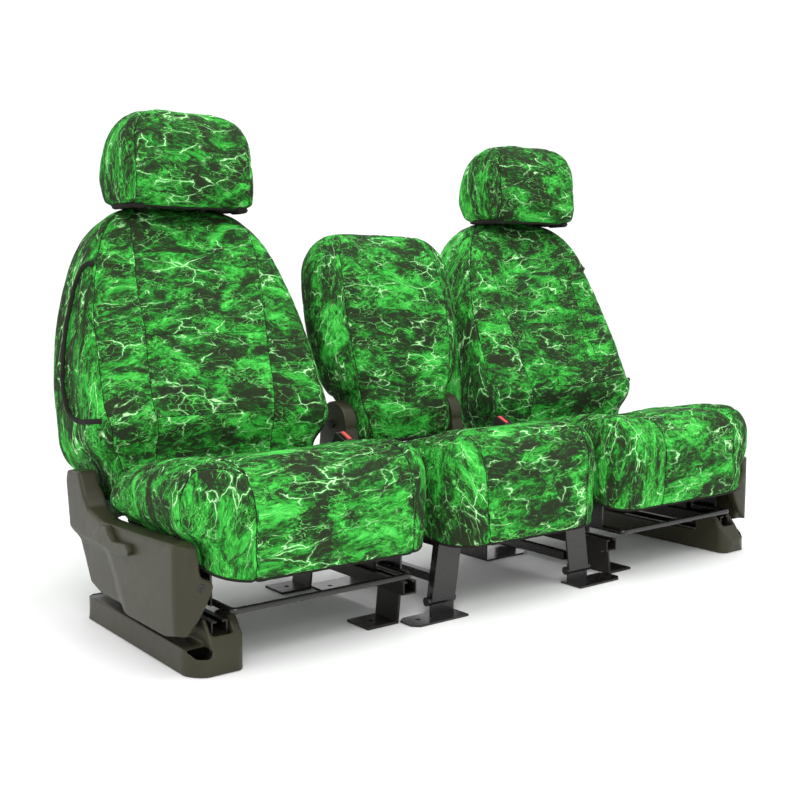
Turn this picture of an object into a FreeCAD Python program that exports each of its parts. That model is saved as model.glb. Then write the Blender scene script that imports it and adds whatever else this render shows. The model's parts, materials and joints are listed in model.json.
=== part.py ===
"""Three-place pickup bench row (40/20/40) dressed in fitted seat covers.

Millimetres. +X runs along the row towards the driver's seat, the seats face -Y, and +Z is up. The origin is on
the floor, at the centre of the middle seat's four floor bolts. The passenger's seat is modelled about its own
middle plane and placed at -seat_spacing; the driver's seat is its mirror image.
"""

import FreeCAD, Part
import math
import os

import Sketcher

Vector = FreeCAD.Vector
doc = FreeCAD.newDocument("bench_row")

# ---------------------------------------------------------------- driving dimensions

DIMENSIONS = {
    "seat_spacing": 498,  # middle of an outboard seat from the middle of the row
    "cloth": 3,  # cover fabric with its foam backing
    "pad_gap": 0.2,  # between a cover and the pad under it
    "recline_y": 280,
    "recline_z": 235,
    "back_tilt": 14,
    "cushion_arc": 113,  # radius of the cushion's rear end about the recliner axis
    "shield_outer": 290,  # side shield's outer face from the seat's middle plane
    "shield_inner": 251,
    "wall": 3,  # moulded plastic wall
    "rail_x": 208,  # rail centre from the seat's middle plane
    "rail_front": -160,
    "rail_length": 480,
    "rail_base": 60,
    "sheet_steel": 4,
    "floor_bolt_r": 5.5,
    "front_bolt_y": -107,
    "bolt_spacing_y": 312,
    "outboard_bolt_x": -242,
    "bolt_spacing_x": 395,
    "arm_outer": 243.5,  # inner face of the recliner uprights
    "side_clear": 235.5,  # inner face of the recliner discs
    "recliner_pin_r": 8,
    "running_gap": 0.05,  # radial clearance of pins and posts
    "post_x": 70,
    "post_r": 5,
    "post_depth": -20,
    "bar_z": 104,
    "bar_r": 6,
    "buckle_x": 262,
    "buckle_y": 196,
    "buckle_z": 200,
    "buckle_lean": 23,
    "fold_y": 275,
    "fold_z": 342,
    "center_tilt": 12,
    "bracket_top_r": 52,
    "fold_pin_r": 7,
    "center_bolt_x": 265,
    "center_bolt_y": 155,
}

sheet = doc.addObject("Spreadsheet::Sheet", "Dims")
for row, (alias, value) in enumerate(DIMENSIONS.items(), start=1):
    sheet.set(f"A{row}", alias.replace("_", " "))
    sheet.set(f"B{row}", str(value))
    sheet.setAlias(f"B{row}", alias)
doc.recompute()


def dim(alias):
    """The value of a cell as a number."""
    return float(getattr(sheet, alias))


def value_of(expression):
    """A number, or the value of an expression on the sheet."""
    if isinstance(expression, str):
        result = sheet.evalExpression(expression)
        return float(getattr(result, "Value", result))
    return float(expression)


def bind(obj, path, expression):
    obj.setExpression(path, str(expression))


def minus(expression):
    return f"-({expression})"


# ---------------------------------------------------------------- shape helpers


def place(obj, x=0, y=0, z=0):
    for axis, expression in zip("xyz", (x, y, z)):
        bind(obj, f"Placement.Base.{axis}", expression)
    return obj


def box(name, x, y, z, length, width, height):
    """A block from its lowest corner; sizes along X, Y and Z."""
    block = doc.addObject("Part::Box", name)
    bind(block, "Length", length)
    bind(block, "Width", width)
    bind(block, "Height", height)
    return place(block, x, y, z)


ROUND_AXES = {
    "X": FreeCAD.Rotation(Vector(0, 1, 0), 90),
    "Y": FreeCAD.Rotation(Vector(1, 0, 0), -90),
    "Z": FreeCAD.Rotation(),
}


def cylinder(name, axis, x, y, z, radius, length):
    """A cylinder from its start point, running along +axis."""
    rod = doc.addObject("Part::Cylinder", name)
    rod.Placement = FreeCAD.Placement(Vector(), ROUND_AXES[axis])
    bind(rod, "Radius", radius)
    bind(rod, "Height", length)
    return place(rod, x, y, z)


def fuse(name, *shapes):
    joined = doc.addObject("Part::MultiFuse", name)
    joined.Shapes = list(shapes)
    return joined


def cut(name, base, tool):
    result = doc.addObject("Part::Cut", name)
    result.Base = base
    result.Tool = tool
    return result


def cut_all(name, base, *tools):
    if len(tools) == 1:
        return cut(name, base, tools[0])
    return cut(name, base, fuse(name + "_tools", *tools))


def group(name, *shapes):
    """Separate solids that share one node."""
    compound = doc.addObject("Part::Compound", name)
    compound.Links = list(shapes)
    return compound


def mirrored(name, source):
    """The same piece on the other side of the row's middle plane."""
    image = doc.addObject("Part::Mirroring", name)
    image.Source = source
    image.Normal = Vector(1, 0, 0)
    return image


def pair(name, source):
    """A piece and its mirror image as two solids of one node."""
    return group(name, source, mirrored(name + "_image", source))


# Offset along a plane's normal: XZ_Plane looks along -Y, the others along their positive axis.
PLANE_SIGN = {"XY_Plane": 1, "XZ_Plane": -1, "YZ_Plane": 1}


def attached_sketch(body, role, offset):
    sketch = body.newObject("Sketcher::SketchObject", body.Name + "_sketch")
    plane = [item for item in body.Origin.OriginFeatures if item.Role == role][0]
    sketch.AttachmentSupport = [(plane, "")]
    sketch.MapMode = "FlatFace"
    signed = offset if PLANE_SIGN[role] > 0 else minus(offset)
    bind(sketch, "AttachmentOffset.Base.z", signed)
    return sketch


def add_bound(sketch, kind, where, expression):
    """A constraint whose value is bound to the sheet when it names a cell."""
    index = sketch.addConstraint(Sketcher.Constraint(kind, *where, value_of(expression)))
    if isinstance(expression, str):
        bind(sketch, f"Constraints[{index}]", expression)


def prism(name, role, start, depth, outline, holes=()):
    """A straight-sided outline with round holes, padded from start along the plane's axis by depth."""
    body = doc.addObject("PartDesign::Body", name)
    near = f"({start}) + ({depth})" if PLANE_SIGN[role] < 0 else start
    sketch = attached_sketch(body, role, near)
    points = [Vector(value_of(a), value_of(b), 0) for a, b in outline]
    count = len(points)
    for index in range(count):
        sketch.addGeometry(Part.LineSegment(points[index], points[(index + 1) % count]))
    for index in range(count):
        sketch.addConstraint(Sketcher.Constraint("Coincident", index, 2, (index + 1) % count, 1))
    for index, (a, b) in enumerate(outline):
        add_bound(sketch, "DistanceX", (-1, 1, index, 1), a)
        add_bound(sketch, "DistanceY", (-1, 1, index, 1), b)
    for a, b, radius in holes:
        centre = Vector(value_of(a), value_of(b), 0)
        circle = sketch.addGeometry(Part.Circle(centre, Vector(0, 0, 1), value_of(radius)))
        add_bound(sketch, "DistanceX", (-1, 1, circle, 3), a)
        add_bound(sketch, "DistanceY", (-1, 1, circle, 3), b)
        add_bound(sketch, "Radius", (circle,), radius)
    pad = body.newObject("PartDesign::Pad", name + "_pad")
    pad.Profile = sketch
    bind(pad, "Length", depth)
    return body


def rounded_section(body, role, offset, half, low, high, radius, low_radius):
    """A rectangle with round corners, symmetric about the sketch's vertical axis."""
    sketch = attached_sketch(body, role, offset)
    w, lo, hi, r, q = (value_of(item) for item in (half, low, high, radius, low_radius))
    sides = (
        ((-w + q, lo), (w - q, lo)),
        ((w, lo + q), (w, hi - r)),
        ((w - r, hi), (-w + r, hi)),
        ((-w, hi - r), (-w, lo + q)),
    )
    corners = (
        ((w - q, lo + q), q, -90), ((w - r, hi - r), r, 0), ((-w + r, hi - r), r, 90), ((-w + q, lo + q), q, 180),
    )
    for first, last in sides:
        sketch.addGeometry(Part.LineSegment(Vector(*first, 0), Vector(*last, 0)))
    for centre, size, begin in corners:
        circle = Part.Circle(Vector(*centre, 0), Vector(0, 0, 1), size)
        arc = Part.ArcOfCircle(circle, math.radians(begin), math.radians(begin + 90))
        sketch.addGeometry(arc)
    for side in range(4):
        sketch.addConstraint(Sketcher.Constraint("Tangent", side, 2, 4 + side, 1))
        sketch.addConstraint(Sketcher.Constraint("Tangent", 4 + side, 2, (side + 1) % 4, 1))
    for side in (0, 2):
        sketch.addConstraint(Sketcher.Constraint("Horizontal", side))
    for side in (1, 3):
        sketch.addConstraint(Sketcher.Constraint("Vertical", side))
    sketch.addConstraint(Sketcher.Constraint("Equal", 4, 7))
    sketch.addConstraint(Sketcher.Constraint("Equal", 5, 6))
    add_bound(sketch, "Radius", (4,), low_radius)
    add_bound(sketch, "Radius", (5,), radius)
    add_bound(sketch, "DistanceX", (-1, 1, 1, 1), half)
    add_bound(sketch, "DistanceX", (-1, 1, 3, 1), minus(half))
    add_bound(sketch, "DistanceY", (-1, 1, 0, 1), low)
    add_bound(sketch, "DistanceY", (-1, 1, 2, 1), high)
    return sketch


def upholstery(name, role, sections, inset="0", open_end=0, flat_low=False):
    """A stuffed form lofted through rounded sections (offset, half width, low, high, corner radius).

    inset moves every wall inwards. open_end carries the first section straight on by that much, out through the
    form's open end. flat_low is for a cushion: its low side stays put, and its low corners are tight.
    """
    body = doc.addObject("PartDesign::Body", name)
    sketches = []
    if open_end:
        offset, *profile = sections[0]
        sections = [(offset - open_end, *profile), *sections]
    last = len(sections) - 1
    for index, (offset, half, low, high, radius) in enumerate(sections):
        shift = 0
        if index == 0 and not open_end:
            shift = inset
        elif index == last:
            shift = minus(inset)
        inner_low = low if flat_low else f"{low} + {inset}"
        inner_radius = f"max({radius} - ({inset}); 4)"
        low_radius = f"12 - ({inset})" if flat_low else inner_radius
        sketches.append(
            rounded_section(
                body, role, f"{offset} + ({shift})", f"{half} - ({inset})", inner_low, f"{high} - ({inset})",
                inner_radius, low_radius,
            )
        )
    loft = body.newObject("PartDesign::AdditiveLoft", name + "_loft")
    loft.Profile = sketches[0]
    loft.Sections = sketches[1:]
    loft.Ruled = True
    return body


def tube(name, points, radius, bend):
    """A round bar through points, with tangent arcs of the given radius at its bends."""
    points = [Vector(*(value_of(item) for item in point)) for point in points]
    edges = []
    start = points[0]
    for before, corner, after in zip(points, points[1:], points[2:]):
        back = (before - corner).normalize()
        ahead = (after - corner).normalize()
        half_angle = back.getAngle(ahead) / 2
        reach = value_of(bend) / math.tan(half_angle)
        first = corner + back * reach
        last = corner + ahead * reach
        middle_way = (back + ahead).normalize()
        centre_distance = value_of(bend) / math.sin(half_angle)
        middle = corner + middle_way * (centre_distance - value_of(bend))
        edges.append(Part.LineSegment(start, first).toShape())
        edges.append(Part.Arc(first, middle, last).toShape())
        start = last
    edges.append(Part.LineSegment(start, points[-1]).toShape())
    path = doc.addObject("Part::Feature", name + "_path")
    path.Shape = Part.Wire(edges)
    profile = doc.addObject("Part::Circle", name + "_profile")
    bind(profile, "Radius", radius)
    direction = points[1] - points[0]
    profile.Placement = FreeCAD.Placement(points[0], FreeCAD.Rotation(Vector(0, 0, 1), direction))
    sweep = doc.addObject("Part::Sweep", name)
    sweep.Sections = [profile]
    sweep.Spine = (path, [f"Edge{index + 1}" for index in range(len(edges))])
    sweep.Solid = True
    sweep.Frenet = False
    return sweep


def tilted(obj, y, z, angle):
    """Lean a piece rearwards by angle about an X axis through (y, z), which is its own origin line."""
    obj.Placement = FreeCAD.Placement(Vector(), FreeCAD.Rotation(Vector(-1, 0, 0), value_of(angle)))
    bind(obj, "Placement.Rotation.Angle", angle)
    return place(obj, 0, y, z)


# ---------------------------------------------------------------- nodes

NODES = []


def node(name, shape, side=None):
    """Register a finished piece. side "outboard" places a seat's piece and adds the driver's mirror image."""
    if side is None:
        shape.Label = name
        NODES.append((name, shape))
        return
    seat = group(name + "_at_seat", shape)
    place(seat, "-Dims.seat_spacing", 0, 0)
    image = mirrored(name + "_driver", seat)
    for owner, item in (("passenger", seat), ("driver", image)):
        item.Label = f"{owner}_{name}"
        NODES.append((f"{owner}_{name}", item))


def outboard(name, shape):
    node(name, shape, "outboard")


# ---------------------------------------------------------------- outboard seat: floor and rails


def rail_profile(centre, clear):
    """Lower rail: a channel whose lips turn in and leave a slot for the upper rail's web."""
    slot = 5.5
    half = 16
    wall = clear
    base = "Dims.rail_base"
    top = f"{base} + 26"
    return [
        (f"{centre} - {half}", base),
        (f"{centre} + {half}", base),
        (f"{centre} + {half}", top),
        (f"{centre} + {slot}", top),
        (f"{centre} + {slot}", f"{top} - {wall}"),
        (f"{centre} + {half - wall}", f"{top} - {wall}"),
        (f"{centre} + {half - wall}", f"{base} + {wall}"),
        (f"{centre} - {half - wall}", f"{base} + {wall}"),
        (f"{centre} - {half - wall}", f"{top} - {wall}"),
        (f"{centre} - {slot}", f"{top} - {wall}"),
        (f"{centre} - {slot}", top),
        (f"{centre} - {half}", top),
    ]


def floor_foot(name, centre, reach, front):
    """Pressed foot: a sole on the floor, reaching outboard by reach, and a riser up to the rail's base."""
    outline = [
        (f"{centre} - 14 - {reach}", 0),
        (f"{centre} - 14", 0),
        (f"{centre} - 8", 55),
        (f"{centre} + 14", 55),
        (f"{centre} + 14", "Dims.rail_base"),
        (f"{centre} - 13", "Dims.rail_base"),
        (f"{centre} - 19", 5),
        (f"{centre} - 14 - {reach}", 5),
    ]
    return prism(name, "XZ_Plane", front, 70, outline)


def make_floor_rails():
    rails = []
    for place_name, centre, reach, bolt_x in (
        ("outboard", "-Dims.rail_x", 42, "Dims.outboard_bolt_x"),
        ("inboard", "Dims.rail_x", 74, "Dims.outboard_bolt_x + Dims.bolt_spacing_x"),
    ):
        name = f"lower_rail_{place_name}"
        channel = prism(name, "XZ_Plane", "Dims.rail_front", "Dims.rail_length", rail_profile(centre, 3))
        feet = []
        holes = []
        for end, bolt_y in (("front", "Dims.front_bolt_y"), ("rear", "Dims.front_bolt_y + Dims.bolt_spacing_y")):
            feet.append(floor_foot(f"{name}_{end}_foot", centre, reach, f"{bolt_y} - 35"))
            holes.append(cylinder(f"{name}_{end}_hole", "Z", bolt_x, bolt_y, -5, "Dims.floor_bolt_r", 20))
        joined = fuse(name + "_with_feet", channel, *feet)
        rails.append(cut_all(name + "_drilled", joined, *holes))
    outboard("floor_rails", group("floor_rails", *rails))


def make_upper_rails():
    """Inverted T rails: a foot inside the channel and a web up through its slot."""
    rails = []
    for place_name, centre in (("outboard", "-Dims.rail_x"), ("inboard", "Dims.rail_x")):
        low = "Dims.rail_base + 4"
        outline = [
            (f"{centre} - 11.5", low),
            (f"{centre} + 11.5", low),
            (f"{centre} + 11.5", f"{low} + 15"),
            (f"{centre} + 4", f"{low} + 15"),
            (f"{centre} + 4", 105),
            (f"{centre} - 4", 105),
            (f"{centre} - 4", f"{low} + 15"),
            (f"{centre} - 11.5", f"{low} + 15"),
        ]
        rails.append(prism(f"upper_rail_{place_name}", "XZ_Plane", -45, 365, outline))
    outboard("upper_rails", group("upper_rails", *rails))


def make_foot_cover():
    """Boat-shaped moulding over the outboard feet, with a raised toe and a slot for the rail."""
    hull = prism(
        "foot_cover_hull", "YZ_Plane", -273, 103,
        [(-188, 0), (292, 0), (298, 14), (286, 42), (240, 47), (-150, 47), (-192, 30)],
    )
    toe = prism(
        "foot_cover_toe", "YZ_Plane", -237, 67,
        [(-188, 0), (-100, 0), (-100, 86), (-112, 92), (-150, 92), (-176, 60), (-192, 30)],
    )
    outer = fuse("foot_cover_outer", hull, toe)
    side_room = box("foot_cover_side_room", -270, -184, -5, 97, 470, 49)
    toe_room = box("foot_cover_toe_room", -234, -172, -5, 61, 69, 61)
    rail_slot = box("foot_cover_rail_slot", "-Dims.rail_x - 20", -170, -5, 40, 500, 120)
    outboard("foot_cover", cut_all("foot_cover", outer, side_room, toe_room, rail_slot))


# ---------------------------------------------------------------- outboard seat: cushion frame and adjusters


def upright(name, inner, lug):
    """Recliner upright: a round-topped plate about the recliner axis on a ledge from the side member."""
    outline = [("Dims.recline_y - 42", 150), ("Dims.recline_y + 24", 150)]
    outline += [("Dims.recline_y + 26", "Dims.recline_z"), ("Dims.recline_y - 26", "Dims.recline_z")]
    plate = prism(name + "_plate", "YZ_Plane", inner, "Dims.sheet_steel", outline)
    top = cylinder(name + "_top", "X", inner, "Dims.recline_y", "Dims.recline_z", 26, "Dims.sheet_steel")
    parts = [plate, top]
    if lug:
        lug_outline = [(182, 150), (250, 150), (250, 200), (212, 218), (182, 212)]
        parts.append(prism(name + "_buckle_lug", "YZ_Plane", inner, "Dims.sheet_steel", lug_outline))
    return parts


def make_cushion_frame():
    parts = []
    for side_name, sign in (("outboard", -1), ("inboard", 1)):
        start = f"{sign} * Dims.rail_x - Dims.sheet_steel / 2"
        member = [(-132, 105), (-92, 105), (-92, 92), (-58, 92), (-58, 105), (330, 105)]
        member += [(330, 160), (170, 188), (-132, 188)]
        hole = [("-75", "Dims.bar_z", "Dims.bar_r + Dims.running_gap")]
        parts.append(prism(f"side_member_{side_name}", "YZ_Plane", start, "Dims.sheet_steel", member, hole))
        ledge_start = "-Dims.arm_outer - Dims.sheet_steel" if sign < 0 else "Dims.rail_x"
        ledge_length = "Dims.arm_outer + Dims.sheet_steel - Dims.rail_x"
        front, width = (238, 66) if sign < 0 else (182, 122)
        parts.append(box(f"ledge_{side_name}", ledge_start, front, 150, ledge_length, width, "Dims.sheet_steel"))
        inner = "-Dims.arm_outer - Dims.sheet_steel" if sign < 0 else "Dims.arm_outer"
        parts += upright(f"upright_{side_name}", inner, sign > 0)
    tube_length = "2 * Dims.rail_x"
    parts.append(cylinder("front_cross_tube", "X", "-Dims.rail_x", -105, 172, 11, tube_length))
    parts.append(cylinder("rear_cross_tube", "X", "-Dims.rail_x", 290, 140, 11, tube_length))
    parts.append(box("cushion_pan", "-Dims.rail_x", -95, 184, tube_length, 265, 3))
    parts.append(cylinder("buckle_stud", "X", "Dims.arm_outer + 2", "Dims.buckle_y", "Dims.buckle_z", 6, 24.5))
    stud_head_x = "Dims.arm_outer + 24.5"
    parts.append(cylinder("buckle_stud_head", "X", stud_head_x, "Dims.buckle_y", "Dims.buckle_z", 9, 3))
    outboard("cushion_frame", fuse("cushion_frame", *parts))


def make_recliners():
    """Two recliner units: a disc against each upright, with a pin into the back frame."""
    units = []
    for side_name, sign in (("outboard", -1), ("inboard", 1)):
        disc_x = "-Dims.arm_outer" if sign < 0 else "Dims.side_clear"
        disc_length = "Dims.arm_outer - Dims.side_clear"
        disc = cylinder(f"recliner_disc_{side_name}", "X", disc_x, "Dims.recline_y", "Dims.recline_z", 25, disc_length)
        pin_length = "Dims.side_clear - 150"
        pin_x = "-Dims.side_clear" if sign < 0 else "150"
        pin = cylinder(
            f"recliner_pin_{side_name}", "X", pin_x, "Dims.recline_y", "Dims.recline_z", "Dims.recliner_pin_r",
            pin_length,
        )
        units.append(fuse(f"recliner_{side_name}", disc, pin))
    outboard("recliners", group("recliners", *units))


def make_adjuster_bar():
    """Bent tube across the front; its ends turn outwards and pivot in the side members."""
    stub = "Dims.rail_x + 6"
    leg = "Dims.rail_x - 16"
    points = [
        (minus(stub), -75, "Dims.bar_z"), (minus(leg), -75, "Dims.bar_z"), (minus(leg), -180, "Dims.bar_z"),
        (leg, -180, "Dims.bar_z"), (leg, -75, "Dims.bar_z"), (stub, -75, "Dims.bar_z"),
    ]
    outboard("adjuster_bar", tube("adjuster_bar", points, "Dims.bar_r", 9))


# ---------------------------------------------------------------- outboard seat: shield and lever

SHIELD_OUTLINE = [
    (-160, 73), (-117, 62), (60, 62), (70, 74), (170, 74), (216, 85), (268, 168), (306, 178), (320, 275),
    (312, 294), (252, 298), (229, 255), (208, 232), (143, 219), (1, 223), (-158, 230), (-172, 222), (-178, 196),
    (-168, 140),
]


def inset_outline(outline, distance):
    """The outline moved inwards by distance; it runs anticlockwise."""
    moved = []
    count = len(outline)
    for index, (a, b) in enumerate(outline):
        previous = outline[index - 1]
        following = outline[(index + 1) % count]
        first = Vector(a - previous[0], b - previous[1], 0).normalize()
        second = Vector(following[0] - a, following[1] - b, 0).normalize()
        inward = (Vector(-first.y, first.x, 0) + Vector(-second.y, second.x, 0)).normalize()
        scale = distance / math.cos(first.getAngle(second) / 2)
        moved.append((a + inward.x * scale, b + inward.y * scale))
    return moved


def make_side_shield():
    depth = "Dims.shield_outer - Dims.shield_inner"
    outer = prism("shield_outer", "YZ_Plane", "-Dims.shield_outer", depth, SHIELD_OUTLINE)
    cheek_outline = [
        (-285, 72), (-273, 72), (-263, 83), (-250, 97), (-232, 127), (-222, 150), (-226, 160), (-246, 170),
        (-252, 200), (-268, 226), (-285, 226),
    ]
    cheek = prism("shield_cheek", "XZ_Plane", -171, "Dims.wall", cheek_outline)
    room = prism(
        "shield_room", "YZ_Plane", "Dims.wall - Dims.shield_outer", depth,
        inset_outline(SHIELD_OUTLINE, dim("wall")),
    )
    hollow = cut("shield_hollow", outer, room)
    boss_hole = cylinder("shield_lever_hole", "X", "-Dims.shield_outer - 5", 128, 198, "9 + Dims.running_gap", 40)
    screw_hole = cylinder("shield_screw_hole", "Y", -247, -180, 152, 4.1, 20)
    joined = fuse("shield_with_cheek", hollow, cheek)
    outboard("side_shield", cut_all("side_shield", joined, boss_hole, screw_hole))
    head = cylinder("shield_screw_head", "Y", -247, -174, 152, 7, 3)
    shank = cylinder("shield_screw_shank", "Y", -247, -171, 152, 4, 16)
    outboard("shield_screw", fuse("shield_screw", head, shank))


def make_recline_lever():
    outline = [
        (154, 197), (146, 181), (46, 174), (0, 182), (-4, 191), (10, 201), (66, 196), (86, 208), (93, 221), (126, 215),
    ]
    grip = prism("lever_grip", "YZ_Plane", "-Dims.shield_outer - 13", 12.5, outline)
    boss = cylinder("lever_boss", "X", "-Dims.shield_outer - 1", 128, 198, 9, 14)
    outboard("recline_lever", fuse("recline_lever", grip, boss))


# ---------------------------------------------------------------- outboard seat: cushion

CUSHION_SECTIONS = [
    (-210, 214, 168, 302, 34),
    (-204, 236, 160, 326, 40),
    (-186, 243, 166, 342, 44),
    (-170, 244, 178, 348, 45),
    (-150, 245, 185, 350, 46),
    (10, 245, 187, 332, 46),
    (150, 243, 194, 306, 40),
    (205, 240, 196, 296, 38),
]


def recliner_clearance(name, radius):
    return cylinder(name, "X", -300, "Dims.recline_y", "Dims.recline_z", radius, 600)


def make_cushion():
    form = upholstery("cushion_form", "XZ_Plane", CUSHION_SECTIONS, flat_low=True)
    outer = cut("cushion_outer", form, recliner_clearance("cushion_arc_outer", "Dims.cushion_arc"))
    open_bottom = [(y, half, 120, high, radius) for y, half, low, high, radius in CUSHION_SECTIONS]
    room_form = upholstery("cushion_room_form", "XZ_Plane", open_bottom, "Dims.cloth", flat_low=True)
    room = cut("cushion_room", room_form, recliner_clearance("cushion_arc_room", "Dims.cushion_arc + Dims.cloth"))
    cover = cut("cushion_cover", outer, room)
    bottoms = (172, 172, 174, 190.2, 190.2, 190.2, 190.2)
    flat_bottom = [
        (y, half, bottom, high, radius)
        for (y, half, low, high, radius), bottom in zip(CUSHION_SECTIONS[1:], bottoms)
    ]
    inset = "Dims.cloth + Dims.pad_gap"
    pad_form = upholstery("cushion_pad_form", "XZ_Plane", flat_bottom, inset, flat_low=True)
    pad = cut("cushion_pad", pad_form, recliner_clearance("cushion_arc_pad", f"Dims.cushion_arc + {inset}"))
    outboard("cushion_cover", cover)
    outboard("cushion_pad", pad)
    straps = [
        box(f"cushion_strap_{index}", -239, y, 188, 478, 38, 2)
        for index, y in enumerate((-60, 40, 120))
    ]
    outboard("cushion_straps", group("cushion_straps", *straps))


# ---------------------------------------------------------------- outboard seat: backrest

BACK_SECTIONS = [
    (-40, 200, -70, 104, 36),
    (22, 234, -97, 120, 42),
    (50, 234, -95, 126, 42),
    (68, 235, -87, 128, 40),
    (84, 258, -100, 130, 46),
    (100, 268, -122, 131, 50),
    (130, 273, -134, 132, 54),
    (222, 272, -120, 130, 58),
    (320, 262, -104, 124, 60),
    (422, 240, -88, 114, 58),
    (500, 212, -76, 104, 54),
    (550, 182, -62, 92, 48),
    (582, 148, -42, 74, 38),
    (600, 112, -16, 50, 24),
]


def back_placed(shape):
    return tilted(shape, "Dims.recline_y", "Dims.recline_z", "Dims.back_tilt")


def post_holes(name, radius):
    """Two holes through the backrest's top for the headrest posts or their sleeves."""
    return [
        cylinder(f"{name}_{index}", "Z", f"{sign} * Dims.post_x", "Dims.post_depth", 440, radius, 200)
        for index, sign in enumerate((-1, 1))
    ]


def make_backrest():
    sleeve_room = "Dims.post_r + Dims.running_gap + 3"
    inset = "Dims.cloth + Dims.pad_gap"
    pin_hole = cylinder("back_pin_hole", "X", -300, 0, 0, "Dims.recliner_pin_r + 1", 600)
    outer = upholstery("back_outer", "XY_Plane", BACK_SECTIONS)
    room = upholstery("back_room", "XY_Plane", BACK_SECTIONS, "Dims.cloth", open_end=20)
    airbag_opening = prism(
        "airbag_opening", "YZ_Plane", -300, 130,
        [(-52, 165), (24, 178), (44, 200), (50, 252), (34, 340), (6, 432), (-12, 462), (-40, 472), (-52, 440)],
    )
    cover = cut_all("back_cover", outer, room, airbag_opening, pin_hole, *post_holes("cover_hole", sleeve_room))
    pad_form = upholstery("back_pad_form", "XY_Plane", BACK_SECTIONS, inset)
    cavity = box("back_cavity", -176, -22, -60, 352, 70, 556)
    pad_holes = post_holes("pad_hole", sleeve_room)
    pad = cut_all("back_pad", pad_form, cavity, pin_hole, *pad_holes)
    outboard("back_cover", back_placed(group("back_cover_tilted", cover)))
    outboard("back_pad", back_placed(group("back_pad_tilted", pad)))
    return outer


def make_back_frame():
    parts = []
    for side_name, sign in (("outboard", -1), ("inboard", 1)):
        parts.append(cylinder(f"back_upright_{side_name}", "Z", f"{sign} * 158", 12, -10, 11, 476))
        parts.append(box(f"back_arm_{side_name}", f"{sign} * 161 - 9", -20, -36, 18, 60, 120))
    parts.append(cylinder("back_top_tube", "X", -158, 12, 466, 11, 316))
    parts.append(cylinder("back_low_tube", "X", -158, 12, 70, 11, 316))
    parts.append(box("lumbar_sheet", -156, 11, 72, 312, 2, 392))
    for index, sign in enumerate((-1, 1)):
        parts.append(box(f"sleeve_seat_{index}", f"{sign} * Dims.post_x - 13", -21, 460, 26, 34, 26))
    frame = fuse("back_frame_solid", *parts)
    bore = cylinder("back_frame_bore", "X", -300, 0, 0, "Dims.recliner_pin_r + Dims.running_gap", 600)
    holes = post_holes("frame_hole", "Dims.post_r + 0.6")
    drilled = cut_all("back_frame", frame, bore, *holes)
    outboard("back_frame", back_placed(group("back_frame_tilted", drilled)))


def make_headrest_posts():
    sleeves = []
    for index, sign in enumerate((-1, 1)):
        x = f"{sign} * Dims.post_x"
        bore_r = "Dims.post_r + Dims.running_gap"
        wall = cylinder(f"sleeve_wall_{index}", "Z", x, "Dims.post_depth", 486, f"{bore_r} + 3", 107)
        collar = cylinder(f"sleeve_collar_{index}", "Z", x, "Dims.post_depth", 592, 8, 7)
        bore = cylinder(f"sleeve_bore_{index}", "Z", x, "Dims.post_depth", 480, bore_r, 130)
        sleeves.append(cut(f"sleeve_{index}", fuse(f"sleeve_outer_{index}", wall, collar), bore))
    outboard("headrest_sleeves", back_placed(group("sleeves_tilted", *sleeves)))
    points = [
        ("-Dims.post_x", "Dims.post_depth", 492), ("-Dims.post_x", "Dims.post_depth", 722),
        ("Dims.post_x", "Dims.post_depth", 722), ("Dims.post_x", "Dims.post_depth", 492),
    ]
    rod = tube("headrest_rod", points, "Dims.post_r", 22)
    posts = back_placed(group("posts_tilted", rod))
    outboard("headrest_posts", posts)
    return posts


HEADREST_SECTIONS = [
    (822, 122, 342, 426, 24),
    (834, 147, 306, 442, 36),
    (880, 152, 292, 468, 44),
    (940, 146, 292, 460, 44),
    (990, 128, 302, 437, 42),
    (1014, 98, 328, 404, 34),
]


def make_headrest(posts):
    outer = upholstery("headrest_outer", "XY_Plane", HEADREST_SECTIONS)
    room = upholstery("headrest_room", "XY_Plane", HEADREST_SECTIONS, "Dims.cloth", open_end=20)
    cover = cut("headrest_cover", outer, room)
    foam = upholstery("headrest_foam", "XY_Plane", HEADREST_SECTIONS, "Dims.cloth + Dims.pad_gap")
    pad = cut("headrest_pad", foam, posts)
    outboard("headrest_cover", cover)
    outboard("headrest_pad", pad)
    flaps = []
    for index, sign in enumerate((-1, 1)):
        x = f"{sign} * 98 - 14"
        flaps.append(box(f"headrest_flap_{index}", x, 345, 820, 28, 56, 1.8))
    outboard("headrest_closure", group("headrest_closure", *flaps))


# ---------------------------------------------------------------- outboard seat: belt buckle


def buckle_placed(shape):
    """Lean forwards about the buckle's stud."""
    shape.Placement = FreeCAD.Placement(Vector(), FreeCAD.Rotation(Vector(1, 0, 0), value_of("Dims.buckle_lean")))
    bind(shape, "Placement.Rotation.Angle", "Dims.buckle_lean")
    return place(shape, 0, "Dims.buckle_y", "Dims.buckle_z")


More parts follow.
